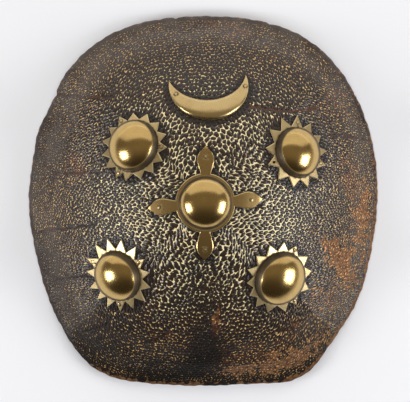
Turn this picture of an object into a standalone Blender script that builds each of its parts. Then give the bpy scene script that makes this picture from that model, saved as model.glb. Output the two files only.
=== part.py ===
"""A dhal: a domed hide shield with five brass bosses, four suns and a crescent moon.

It lies rim down with its outer face up. Metres, +Z up, +X to the right and +Y towards the crescent
as the face is seen. The origin is on the ground under the middle of the outline.
"""

import math
from dataclasses import dataclass
from random import Random

import bmesh
import bpy
from mathutils import Matrix, Vector
from mathutils.geometry import tessellate_polygon

# Hide, a superellipse in plan that grew and shrank along its rim as it dried
HALF_WIDTH = 0.224
HALF_HEIGHT = 0.235
OUTLINE_POWER = 2.3
APEX_HEIGHT = 0.135
SIDE_POWER = 2.0
END_POWER = 2.35
RIM_LIFT = 0.015
RESTING_SINE = 0.45
RIM_FLARE = 0.0025
FLARE_START = 0.86
HIDE_THICKNESS = 0.008
EDGE_ROUNDING = 0.002
# Each swell or notch in the rim: degrees round from +X, its spread in degrees, and its growth as
# a share of the half width
RIM_SWELLS = (
    (57, 18, 0.018), (120, 14, 0.009), (148, 7, -0.022), (166, 9, -0.013),
    (200, 14, -0.02), (238, 14, 0.058), (299, 11, 0.069), (343, 13, -0.016),
)
HIDE_SECTORS = 56
OUTER_RINGS = 11
# Rings of the inner face as shares of its reach, closer where the fittings come through
INNER_SHARES = (1, 0.87, 0.75, 0.67, 0.59, 0.51, 0.43, 0.35, 0.27, 0.13)

# Brass sheet and the gaps between pieces that touch
GAP = 0.0003
PLATE_THICKNESS = 0.0012
BOSS_WALL = 0.0012
BOSS_HEIGHT = 0.0205
BOSS_SECTORS = 18
BOSS_OUTER_RINGS = 4
BOSS_INNER_RINGS = 3
SUN_BOSS_RADIUS = 0.032
RAY_LENGTH = 0.012
# How far a ray's valley stands outside the boss, and a ray's rivet on its way from there to the tip
VALLEY_MARGIN = 0.0018
RAY_RIVET_SHARE = 0.27
RAY_TURN_ERROR = 3.2
RAY_LENGTH_ERROR = 0.0016

# Rivets, turned about their own axis
RIVET_HEAD_RADIUS = 0.0026
RIVET_HEAD_HEIGHT = 0.001
RIVET_SHANK_RADIUS = 0.0014
RIVET_TAIL_RADIUS = 0.003
RIVET_TAIL_HEIGHT = 0.0014
HOLE_CLEARANCE = 0.0003
TAIL_CLEARANCE = 0.0006
RIVET_SIDES = 8

# Middle boss and its plate, a disc with four leaves
MIDDLE = (0.013 * HALF_WIDTH, -0.011 * HALF_HEIGHT)
MIDDLE_BOSS_RADIUS = 0.0315
MIDDLE_DISC_MARGIN = 0.0042
LEAF_DIRECTIONS = (4.0, 89.5, 185.2, 269.5)
LEAF_LENGTH = 0.0333
LEAF_RIVET_SHARE = 0.6
LEAF_NECK_DEGREES = 10.0
NECK_POINTS = 3
DISC_POINTS = 3
# A leaf's half-widths, each at its share of the way from the disc to the tip
LEAF_PROFILE = ((0.24, 0.0085), (0.48, 0.0102), (0.74, 0.0078))

# Crescent, two arcs through the same tips, swelling over its belly
CRESCENT = (0.05 * HALF_WIDTH, 0.47 * HALF_HEIGHT)
CRESCENT_TURN = 5.2
CRESCENT_SPAN = 0.0943
CRESCENT_OUTER_DEPTH = 0.0603
CRESCENT_BELLY_WIDTH = 0.0262
CRESCENT_CROWN = 0.0045
CRESCENT_CROWN_POWER = 0.6
# Each rivet's place as crescent_spot takes it
CRESCENT_RIVETS = (("left", -0.68, 0.6), ("right", 0.75, 0.5))
CRESCENT_STATIONS = 14
CRESCENT_STRIPS = 4

# Ring bolts through the four suns, their rings and the two leather grips at the back
BOLT_RADIUS = 0.0025
BOLT_TOP_CLEARANCE = 0.0008
COLLAR_RADIUS = 0.0065
COLLAR_THICKNESS = 0.0015
EYE_RADIUS = 0.0058
EYE_WIRE = 0.0018
RING_RADIUS = 0.015
RING_WIRE = 0.002
LINK_CLEARANCE = 0.0005
EYE_SIDES = 10
RING_SIDES = 12
WIRE_SIDES = 6
GRIP_PULL = 32.0
GRIP_WIDTH = 0.028
GRIP_END_WIDTH = 0.014
GRIP_THICKNESS = 0.006
GRIP_LOOP_WALL = 0.0025
# The stretch over which a grip narrows, as shares of the way from its middle to its end
GRIP_NARROWING = (0.19, 0.81)

# Edges that turn by more than this many degrees are shaded sharp
SHARP_ANGLE = 35.0

# Each material's colour, roughness and metallic value
FINISHES = {
    "hide": ((0.06, 0.04, 0.03), 0.4, 0),
    "boss_brass": ((0.55, 0.4, 0.18), 0.2, 1),
    "sun_plate_brass": ((0.5, 0.37, 0.16), 0.3, 1),
    "leaf_plate_brass": ((0.42, 0.3, 0.13), 0.35, 1),
    "crescent_brass": ((0.52, 0.38, 0.17), 0.3, 1),
    "rivet_brass": ((0.45, 0.33, 0.15), 0.35, 1),
    "ring_iron": ((0.16, 0.14, 0.13), 0.55, 1),
    "grip_leather": ((0.18, 0.1, 0.06), 0.6, 0),
}


@dataclass(frozen=True)
class Sun:
    """A rayed plate and its boss.

    Its place is in shares of the hide's half width and half height, and its boss and rays are in
    shares of the usual ones. The rays are counted round from +X, and crowding shifts them to one
    side. The ring of their tips is off the boss's middle by slip, and seed gives each ray its own
    slip of the shears. An empty ray has lost its rivet.
    """

    name: str
    across: float
    along: float
    boss: float
    ray: float
    rays: int
    turn: float
    crowding: float
    crowding_towards: float
    slip: tuple
    seed: int
    riveted: tuple
    empty: tuple = ()

    @property
    def boss_radius(self):
        """Radius of the boss's foot."""
        return self.boss * SUN_BOSS_RADIUS

    @property
    def valley(self):
        """Distance of the valleys between the rays."""
        return self.boss_radius + VALLEY_MARGIN

    def rivet_distance(self, reach):
        """Distance of the rivet in a ray that reaches so far."""
        foot = self.boss_radius + RIVET_HEAD_RADIUS
        return foot + RAY_RIVET_SHARE * (reach - foot)

    def spot(self, distance, direction):
        """Plane point at a distance and direction from the middle of the ring of tips."""
        u, v = polar(distance, direction)
        return self.slip[0] + u, self.slip[1] + v


SUNS = (
    Sun(
        "upper_left", -0.3766, 0.284, 1.004, 0.8, 15, 22.7, 1.8, 130,
        (-0.00031, 0.00023), 45102, (4, 9, 14),
    ),
    Sun(
        "upper_right", 0.5138, 0.2524, 0.973, 1.0, 13, 4.7, 5.5, 245,
        (0.00042, 0.00093), 159122, (3, 12), (7,),
    ),
    Sun(
        "lower_left", -0.4641, -0.3897, 0.974, 1.136, 15, 5.0, 3.4, 176,
        (-0.00184, 0.00057), 82086, (1, 6, 11),
    ),
    Sun(
        "lower_right", 0.4196, -0.402, 1.048, 0.82, 14, 8.6, 5.8, 102,
        (0.0008, -0.00005), 48445, (2, 12),
    ),
)
GRIP_SIDES = (("left", "upper_left", "lower_left"), ("right", "upper_right", "lower_right"))


def outline_base(angle):
    """Plan distance from the middle to the plain superellipse."""
    wide = abs(math.cos(angle) / HALF_WIDTH) ** OUTLINE_POWER
    tall = abs(math.sin(angle) / HALF_HEIGHT) ** OUTLINE_POWER
    return (wide + tall) ** (-1 / OUTLINE_POWER)


def outline_radius(angle):
    """Plan distance from the middle to the rim, with its swells and notches."""
    growth = 0.0
    for place, spread, amount in RIM_SWELLS:
        away = (math.degrees(angle) - place + 180) % 360 - 180
        growth += amount * HALF_WIDTH * math.exp(-((away / spread) ** 2))
    return outline_base(angle) + growth


def smooth(value):
    """0 below 0, 1 above 1, and a smooth step between."""
    value = min(max(value, 0.0), 1.0)
    return value * value * (3 - 2 * value)


def rim_height(angle):
    """Height of the rim's underside, which rests at the sides and lifts at the top and bottom."""
    return RIM_LIFT * smooth((abs(math.sin(angle)) - RESTING_SINE) / (1 - RESTING_SINE))


def plain_dome(x, y):
    """Height of the dome before its rim is trimmed to rim_height."""
    side = APEX_HEIGHT * (abs(x) / HALF_WIDTH) ** SIDE_POWER
    end = (APEX_HEIGHT - RIM_LIFT) * (abs(y) / HALF_HEIGHT) ** END_POWER
    return APEX_HEIGHT - side - end


def surface_height(x, y):
    """Height of the hide's outer face over a point of the ground."""
    distance = math.hypot(x, y)
    if distance < 1e-9:
        return APEX_HEIGHT
    angle = math.atan2(y, x)
    rim, base = outline_radius(angle), outline_base(angle)
    share = distance / rim
    stretch = 1 + (rim / base - 1) * share ** 2
    at_rim = plain_dome(base * math.cos(angle), base * math.sin(angle))
    trim = rim_height(angle) + EDGE_ROUNDING - at_rim
    flare = 0.0
    if FLARE_START < share < 1:
        flare = RIM_FLARE * math.sin(math.pi * (share - FLARE_START) / (1 - FLARE_START)) ** 2
    return plain_dome(x / stretch, y / stretch) + trim * share ** 4 - flare


def surface_normal(x, y):
    """Outward normal of the hide's outer face."""
    step = 0.0002
    slope_x = (surface_height(x + step, y) - surface_height(x - step, y)) / (2 * step)
    slope_y = (surface_height(x, y + step) - surface_height(x, y - step)) / (2 * step)
    return Vector((-slope_x, -slope_y, 1)).normalized()


def hide_point(x, y, lift=0.0):
    """Point of the outer face over (x, y), moved out along the normal by lift."""
    return Vector((x, y, surface_height(x, y))) + surface_normal(x, y) * lift


class Seat:
    """A place on the hide's outer face, with axes along it: u towards +X from above, v, and out."""

    def __init__(self, x, y):
        self.x, self.y = x, y
        self.origin = hide_point(x, y)
        self.out = surface_normal(x, y)
        self.u = Vector((0, 1, 0)).cross(self.out).normalized()
        self.v = self.out.cross(self.u)

    def matrix(self):
        """Places a piece that is made about its own axis."""
        axes = Matrix((self.u, self.v, self.out)).transposed().to_4x4()
        return Matrix.Translation(self.origin) @ axes

    def ground(self, u, v):
        """The (x, y) under the point of the hide that stands off this seat by u and v."""
        x, y = self.x + u * self.u.x + v * self.v.x, self.y + u * self.u.y + v * self.v.y
        for _ in range(5):
            away = hide_point(x, y) - self.origin
            miss = self.u * (u - away.dot(self.u)) + self.v * (v - away.dot(self.v))
            x, y = x + miss.x, y + miss.y
        return x, y

    def place(self, u, v, lift):
        """Point over the hide at u, v, moved out by lift."""
        return hide_point(*self.ground(u, v), lift)

    def beside(self, u, v):
        """Another seat, away from this one by u and v."""
        return Seat(*self.ground(u, v))


def polar(radius, degrees):
    """Plane coordinates of a point at a distance and direction."""
    return radius * math.cos(math.radians(degrees)), radius * math.sin(math.radians(degrees))


def clear_scene():
    """Removes whatever the scene holds."""
    for thing in list(bpy.data.objects):
        bpy.data.objects.remove(thing, do_unlink=True)


def finish(name, colour, roughness, metallic):
    """A plain principled material."""
    material = bpy.data.materials.new(name)
    material.use_nodes = True
    shader = material.node_tree.nodes["Principled BSDF"]
    shader.inputs["Base Color"].default_value = (*colour, 1)
    shader.inputs["Roughness"].default_value = roughness
    shader.inputs["Metallic"].default_value = metallic
    return material


def add_object(name, bm, matrix, material, parent):
    """Makes an object of a closed mesh that is given in world space, with its origin at matrix."""
    bmesh.ops.recalc_face_normals(bm, faces=bm.faces[:])
    bmesh.ops.triangulate(bm, faces=bm.faces[:])
    bmesh.ops.transform(bm, matrix=matrix.inverted(), verts=bm.verts[:])
    mesh = bpy.data.meshes.new(name)
    bm.to_mesh(mesh)
    bm.free()
    mesh.shade_smooth()
    mesh.set_sharp_from_angle(angle=math.radians(SHARP_ANGLE))
    made = bpy.data.objects.new(name, mesh)
    bpy.context.scene.collection.objects.link(made)
    made.data.materials.append(material)
    made.parent = parent
    made.matrix_world = matrix
    return made


def add_faces(bm, corners, faces):
    """Adds vertices and the faces between them."""
    verts = [bm.verts.new(corner) for corner in corners]
    for face in faces:
        bm.faces.new([verts[index] for index in face])


def thick_sheet(place, points, faces, tops, bottoms):
    """Mesh of a sheet: plane points and faces, each point set at a top and a bottom lift."""
    count = len(points)
    corners = [place(*point, top) for point, top in zip(points, tops)]
    corners += [place(*point, bottom) for point, bottom in zip(points, bottoms)]
    edges = {(a, b) for face in faces for a, b in zip(face, face[1:] + face[:1])}
    walls = [(b, a, a + count, b + count) for a, b in sorted(edges) if (b, a) not in edges]
    under = [[index + count for index in reversed(face)] for face in faces]
    bm = bmesh.new()
    add_faces(bm, corners, [*faces, *under, *walls])
    return bm


def turned(bm, matrix, profile, sides):
    """Adds a closed turned shape. The profile runs from the axis at the top to the axis below."""
    rings = []
    for radius, height in profile:
        turns = range(sides) if radius else (0,)
        spots = [Vector((*polar(radius, 360 * turn / sides), height)) for turn in turns]
        rings.append([bm.verts.new(matrix @ spot) for spot in spots])
    for upper, lower in zip(rings, rings[1:]):
        for turn in range(sides):
            following = (turn + 1) % sides
            ring = [upper[turn % len(upper)], lower[turn % len(lower)]]
            ring += [lower[following % len(lower)], upper[following % len(upper)]]
            bm.faces.new(list(dict.fromkeys(ring)))


def pin(bm, seat, radius):
    """Adds a straight pin through everything at a seat, to cut a hole with."""
    reach = HIDE_THICKNESS + CRESCENT_CROWN + BOSS_HEIGHT
    profile = ((0, reach), (radius, reach), (radius, -reach), (0, -reach))
    turned(bm, seat.matrix(), profile, RIVET_SIDES)


def combine(target, name, bm, operation):
    """Cuts a closed mesh out of a target, or joins it on. The mesh stays as a wire guide."""
    guide = add_object(name, bm, Matrix(), target.active_material, target.parent)
    guide.hide_render = True
    guide.display_type = "WIRE"
    boolean = target.modifiers.new(name, "BOOLEAN")
    boolean.operation = operation
    boolean.solver = "EXACT"
    boolean.object = guide


def ring_of(bm, points):
    """Adds a ring of vertices."""
    return [bm.verts.new(point) for point in points]


def bridge(bm, first, second):
    """Joins two rings of as many vertices, or a ring and one vertex."""
    count = len(first)
    for index in range(count):
        following = (index + 1) % count
        if len(second) == 1:
            bm.faces.new((first[index], first[following], second[0]))
        else:
            bm.faces.new((first[index], first[following], second[following], second[index]))


def inner_reach(angle):
    """Share of the outline at which the inner face comes down to the rim's underside."""
    low, high = 0.5, 1.0
    for _ in range(30):
        middle = (low + high) / 2
        x, y = polar(middle * outline_radius(angle), math.degrees(angle))
        if hide_point(x, y, -HIDE_THICKNESS).z > rim_height(angle):
            low = middle
        else:
            high = middle
    return low


def hide_mesh():
    """The hide: outer face, rounded edge, flat underside of the rim, and inner face."""
    bm = bmesh.new()
    angles = [2 * math.pi * sector / HIDE_SECTORS for sector in range(HIDE_SECTORS)]

    def ring(shares, lift):
        spots = [
            polar(share * outline_radius(angle), math.degrees(angle))
            for share, angle in zip(shares, angles)
        ]
        return ring_of(bm, [hide_point(x, y, lift) for x, y in spots])

    inner_reaches = [inner_reach(angle) for angle in angles]
    rings = [
        ring([(OUTER_RINGS - index) / OUTER_RINGS] * HIDE_SECTORS, 0)
        for index in range(OUTER_RINGS)
    ]
    outer_pole = ring_of(bm, [hide_point(0, 0)])
    under = []
    for angle in angles:
        x, y = polar(outline_radius(angle) - EDGE_ROUNDING, math.degrees(angle))
        under.append((x, y, rim_height(angle)))
    under = ring_of(bm, under)
    inner = [
        ring([reach * share for reach in inner_reaches], -HIDE_THICKNESS)
        for share in INNER_SHARES
    ]
    inner_pole = ring_of(bm, [hide_point(0, 0, -HIDE_THICKNESS)])
    for first, second in zip(rings, rings[1:] + [outer_pole]):
        bridge(bm, first, second)
    bridge(bm, under, rings[0])
    bridge(bm, inner[0], under)
    for first, second in zip(inner, inner[1:]):
        bridge(bm, second, first)
    for index, vert in enumerate(inner[-1]):
        bm.faces.new((inner_pole[0], inner[-1][(index + 1) % HIDE_SECTORS], vert))
    return bm


def outline_middle():
    """Middle of the hide's plan, which the whole shield is shifted by to stand on the origin."""
    spots = [
        polar(outline_radius(2 * math.pi * sector / HIDE_SECTORS), 360 * sector / HIDE_SECTORS)
        for sector in range(HIDE_SECTORS)
    ]
    across = [spot[0] for spot in spots]
    along = [spot[1] for spot in spots]
    return (min(across) + max(across)) / 2, (min(along) + max(along)) / 2


def boss_mesh(seat, radius):
    """A hollow half-round boss, open below, whose foot follows the plate."""
    bm = bmesh.new()
    foot = PLATE_THICKNESS + 2 * GAP

    def shell(reach, height, bands):
        rings = []
        for band in range(bands):
            lean = math.radians(90 * (1 - band / bands))
            lift = foot + height * math.cos(lean)
            spots = [
                polar(reach * math.sin(lean), 360 * sector / BOSS_SECTORS)
                for sector in range(BOSS_SECTORS)
            ]
            rings.append(ring_of(bm, [seat.place(u, v, lift) for u, v in spots]))
        return rings + [ring_of(bm, [seat.place(0, 0, foot + height)])]

    outer = shell(radius, BOSS_HEIGHT, BOSS_OUTER_RINGS)
    inner = shell(radius - BOSS_WALL, BOSS_HEIGHT - BOSS_WALL, BOSS_INNER_RINGS)
    for first, second in zip(outer, outer[1:]):
        bridge(bm, first, second)
    bridge(bm, inner[0], outer[0])
    for first, second in zip(inner, inner[1:-1]):
        bridge(bm, second, first)
    for index, vert in enumerate(inner[-2]):
        bm.faces.new((inner[-1][0], inner[-2][(index + 1) % BOSS_SECTORS], vert))
    return bm


def ray_direction(sun, ray, random):
    """Degrees from +X to a ray's tip, with the slip of the shears."""
    even = sun.turn + 360 * ray / sun.rays
    crowd = sun.crowding * math.cos(math.radians(even - sun.crowding_towards))
    return even + crowd + random.uniform(-RAY_TURN_ERROR, RAY_TURN_ERROR)


def sun_directions(sun):
    """Direction and reach of each ray of a sun."""
    random = Random(sun.seed)
    rays = []
    for ray in range(sun.rays):
        direction = ray_direction(sun, ray, random)
        length = sun.ray * RAY_LENGTH + random.uniform(-RAY_LENGTH_ERROR, RAY_LENGTH_ERROR)
        rays.append((direction, sun.valley + length))
    return rays


def sun_plate_mesh(sun, seat):
    """A rayed plate that lies on the hide."""
    rays = sun_directions(sun)
    count = sun.rays
    points = [(0, 0)]
    for radius in (sun.valley / 2, sun.valley):
        for ray in range(count):
            following = rays[(ray + 1) % count][0] + (360 if ray == count - 1 else 0)
            points.append(polar(radius, (rays[ray][0] + following) / 2))
    points += [sun.spot(reach, direction) for direction, reach in rays]
    faces = []
    for ray in range(count):
        before, here = 1 + (ray - 1) % count, 1 + ray
        faces.append([0, before, here])
        faces.append([before, before + count, here + count, here])
        faces.append([before + count, 1 + 2 * count + ray, here + count])
    tops = [PLATE_THICKNESS + GAP] * len(points)
    return thick_sheet(seat.place, points, faces, tops, [GAP] * len(points))


def middle_plate_mesh(seat):
    """A disc with four pointed leaves."""
    neck = LEAF_NECK_DEGREES
    disc = MIDDLE_BOSS_RADIUS + MIDDLE_DISC_MARGIN
    rim = []
    for direction, following in zip(LEAF_DIRECTIONS, LEAF_DIRECTIONS[1:] + LEAF_DIRECTIONS[:1]):
        rim += [direction - neck, direction, direction + neck]
        step = ((following - direction) % 360 - 2 * neck) / (DISC_POINTS + 1)
        rim += [direction + neck + step * (point + 1) for point in range(DISC_POINTS)]
    count, inside = len(rim), len(rim) // 2
    points = [(0, 0)]
    points += [polar(disc / 2, direction) for direction in rim[::2]]
    points += [polar(disc, direction) for direction in rim]
    faces = []
    for index in range(inside):
        here, following = 1 + index, 1 + (index + 1) % inside
        outside = 1 + inside + 2 * index
        beyond = 1 + inside + (2 * index + 2) % count
        faces.append([0, here, following])
        faces += [[here, outside, outside + 1], [here, outside + 1, following]]
        faces.append([following, outside + 1, beyond])
    for leaf, direction in enumerate(LEAF_DIRECTIONS):
        first = 1 + inside + (NECK_POINTS + DISC_POINTS) * leaf
        row = [first, first + 1, first + 2]
        along, across = Vector(polar(1, direction)), Vector(polar(1, direction + 90))
        for share, half in LEAF_PROFILE:
            distance = disc + share * LEAF_LENGTH
            new_row = [len(points), len(points) + 1, len(points) + 2]
            points += [tuple(along * distance + across * side * half) for side in (-1, 0, 1)]
            for side in (0, 1):
                faces.append([row[side], new_row[side], new_row[side + 1], row[side + 1]])
            row = new_row
        points.append(tuple(along * (disc + LEAF_LENGTH)))
        faces += [[row[side], len(points) - 1, row[side + 1]] for side in (0, 1)]
    tops = [PLATE_THICKNESS + GAP] * len(points)
    return thick_sheet(seat.place, points, faces, tops, [GAP] * len(points))


def crescent_spot(along, across):
    """Plane point of the crescent: along from -1 to 1 between the tips, across from 0 to 1 inwards."""
    half = CRESCENT_SPAN / 2
    middles = []
    for depth in (CRESCENT_OUTER_DEPTH, CRESCENT_OUTER_DEPTH - CRESCENT_BELLY_WIDTH):
        radius = (half ** 2 + depth ** 2) / (2 * depth)
        spread = math.acos((radius - depth) / radius)
        turn = spread * along
        middles.append(Vector((radius * math.sin(turn), -radius * math.cos(turn) + radius - depth)))
    spot = middles[0].lerp(middles[1], across)
    spot.y += CRESCENT_OUTER_DEPTH - CRESCENT_BELLY_WIDTH / 2
    spot.rotate(Matrix.Rotation(math.radians(CRESCENT_TURN), 2))
    return tuple(spot)


def crescent_crown(along, across):
    """How far the crescent's sheet swells off the hide."""
    profile = max(0.0, 1 - (2 * across - 1) ** 2) ** CRESCENT_CROWN_POWER
    return CRESCENT_CROWN * (1 - along ** 2) * profile


def crescent_mesh(seat):
    """The crescent's raised sheet, hollow behind its swelling."""
    spots = [(-1, 0.5)]
    for station in range(1, CRESCENT_STATIONS):
        along = 2 * station / CRESCENT_STATIONS - 1
        spots += [(along, strip / CRESCENT_STRIPS) for strip in range(CRESCENT_STRIPS + 1)]
    spots.append((1, 0.5))
    row = CRESCENT_STRIPS + 1
    faces = []
    for strip in range(CRESCENT_STRIPS):
        faces.append([0, 1 + strip, 2 + strip])
        for station in range(CRESCENT_STATIONS - 2):
            near = 1 + station * row + strip
            faces.append([near, near + row, near + row + 1, near + 1])
        near = 1 + (CRESCENT_STATIONS - 2) * row + strip
        faces.append([near, len(spots) - 1, near + 1])
    points = [crescent_spot(*spot) for spot in spots]
    bottoms = [GAP + crescent_crown(*spot) for spot in spots]
    tops = [bottom + PLATE_THICKNESS for bottom in bottoms]
    return thick_sheet(seat.place, points, faces, tops, bottoms)


def rivet_mesh(seat, plate_top):
    """A rivet through the brass and the hide, clenched at the back."""
    head = plate_top + GAP
    back = -(HIDE_THICKNESS + TAIL_CLEARANCE)
    profile = (
        (0, head + RIVET_HEAD_HEIGHT),
        (RIVET_HEAD_RADIUS, head),
        (RIVET_SHANK_RADIUS, head),
        (RIVET_SHANK_RADIUS, back),
        (RIVET_TAIL_RADIUS, back),
        (0, back - RIVET_TAIL_HEIGHT),
    )
    bm = bmesh.new()
    turned(bm, seat.matrix(), profile, RIVET_SIDES)
    return bm


def torus(centre, across, towards, radius, wire, sides):
    """Mesh of a ring of wire that lies in the plane of two unit vectors."""
    bm = bmesh.new()
    axis = across.cross(towards)
    rings = []
    for side in range(sides):
        c, s = polar(1, 360 * side / sides)
        out = across * c + towards * s
        spots = []
        for turn in range(WIRE_SIDES):
            wide, high = polar(wire, 360 * (turn + 0.5) / WIRE_SIDES)
            spots.append(centre + out * (radius + wide) + axis * high)
        rings.append(ring_of(bm, spots))
    for first, second in zip(rings, rings[1:] + rings[:1]):
        bridge(bm, first, second)
    return bm


class GripSide:
    """The plane in which a grip hangs between the eyes of two ring bolts."""

    def __init__(self, upper, lower):
        drop = HIDE_THICKNESS + TAIL_CLEARANCE + COLLAR_THICKNESS + EYE_RADIUS + EYE_WIRE / 2
        self.eyes = [seat.origin - seat.out * drop for seat in (upper, lower)]
        self.up = (self.eyes[0] - self.eyes[1]).normalized()
        inward = -(upper.out + lower.out)
        self.inward = (inward - self.up * inward.dot(self.up)).normalized()
        self.across = self.up.cross(self.inward)
        self.middle = (self.eyes[0] + self.eyes[1]) / 2
        wire = self.ring_centre(1) + self.pull(1) * RING_RADIUS - self.middle
        self.wire = Vector((wire.dot(self.up), wire.dot(self.inward)))

    def pull(self, end):
        """Unit vector in which the grip pulls the ring at its upper (1) or lower (-1) end."""
        lean, rise = polar(1, GRIP_PULL)
        return self.inward * rise - self.up * end * lean

    def ring_centre(self, end):
        """Middle of the ring that hangs in an eye."""
        slack = EYE_RADIUS - EYE_WIRE - RING_WIRE - LINK_CLEARANCE
        return self.eyes[0 if end > 0 else 1] + self.pull(end) * (slack + RING_RADIUS)

    def place(self, along, inward, across):
        """Point of the grip in world space."""
        return self.middle + self.up * along + self.inward * inward + self.across * across

    def loop(self, end, radius, turns):
        """Side view round the wire of a ring, drawn out towards the eye to clear the ring's curve."""
        lean, rise = polar(1, GRIP_PULL)
        to_eye = Vector((lean * end, -rise))
        side = Vector((rise, lean * end))
        curve = RING_RADIUS - math.sqrt(RING_RADIUS ** 2 - (GRIP_END_WIDTH / 2) ** 2)
        spots = []
        for turn in turns:
            c, s = polar(radius, turn)
            drawn_out = curve + LINK_CLEARANCE if abs(turn) <= 90 else 0
            spots.append(Vector((self.wire.x * end, self.wire.y)) + to_eye * (c + drawn_out) + side * s)
        return spots

    def bow(self, offset, turns):
        """Side view of the arc between the rings, so far inward of the grip's middle line."""
        lean, rise = polar(1, GRIP_PULL)
        radius = self.wire.x / rise
        spots = []
        for turn in turns:
            c, s = polar(radius + offset, turn)
            spots.append(Vector((s, self.wire.y + c - radius * lean)))
        return spots

    def outline(self):
        """Side view of the grip: both loops and the two faces between them."""
        radius = RING_WIRE + LINK_CLEARANCE + GRIP_LOOP_WALL
        neck = math.degrees(math.asin(GRIP_THICKNESS / 2 / radius))
        turns = (180 - neck, 120, 90, 45, 0, -45, -90, -120, neck - 180)
        bow_turns = [GRIP_PULL * step / 4 for step in (-3, -2, -1, 0, 1, 2, 3)]
        face_to_hide = self.bow(-GRIP_THICKNESS / 2, bow_turns[::-1])
        face_to_hand = self.bow(GRIP_THICKNESS / 2, bow_turns)
        return self.loop(1, radius, turns) + face_to_hide + self.loop(-1, radius, turns) + face_to_hand

    def mesh(self):
        """The grip, wide at its middle and narrow where it loops round the rings."""
        turns = (150, 100, 90, 45, 0, -45, -90, -100, -150)
        loops = [self.outline()]
        loops += [self.loop(end, RING_WIRE + LINK_CLEARANCE, turns) for end in (1, -1)]
        points = [point for loop in loops for point in loop]
        flat = [[point.to_3d() for point in loop] for loop in loops]
        faces = [list(face) for face in tessellate_polygon(flat)]
        far = max(point.x for point in points)
        start, end = GRIP_NARROWING
        halves = []
        for point in points:
            narrow = smooth((abs(point.x) / far - start) / (end - start))
            halves.append((GRIP_WIDTH + (GRIP_END_WIDTH - GRIP_WIDTH) * narrow) / 2)
        return thick_sheet(self.place, points, faces, halves, [-half for half in halves])


def bolt_mesh(seat):
    """A bolt from inside the boss through plate and hide, with a collar behind."""
    top = PLATE_THICKNESS + 2 * GAP + BOSS_HEIGHT - BOSS_WALL - BOLT_TOP_CLEARANCE
    back = -(HIDE_THICKNESS + TAIL_CLEARANCE)
    profile = (
        (0, top), (BOLT_RADIUS, top), (BOLT_RADIUS, back), (COLLAR_RADIUS, back),
        (COLLAR_RADIUS, back - COLLAR_THICKNESS), (BOLT_RADIUS, back - 2 * COLLAR_THICKNESS),
        (0, back - 2 * COLLAR_THICKNESS),
    )
    bm = bmesh.new()
    turned(bm, seat.matrix(), profile, RIVET_SIDES)
    return bm


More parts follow.
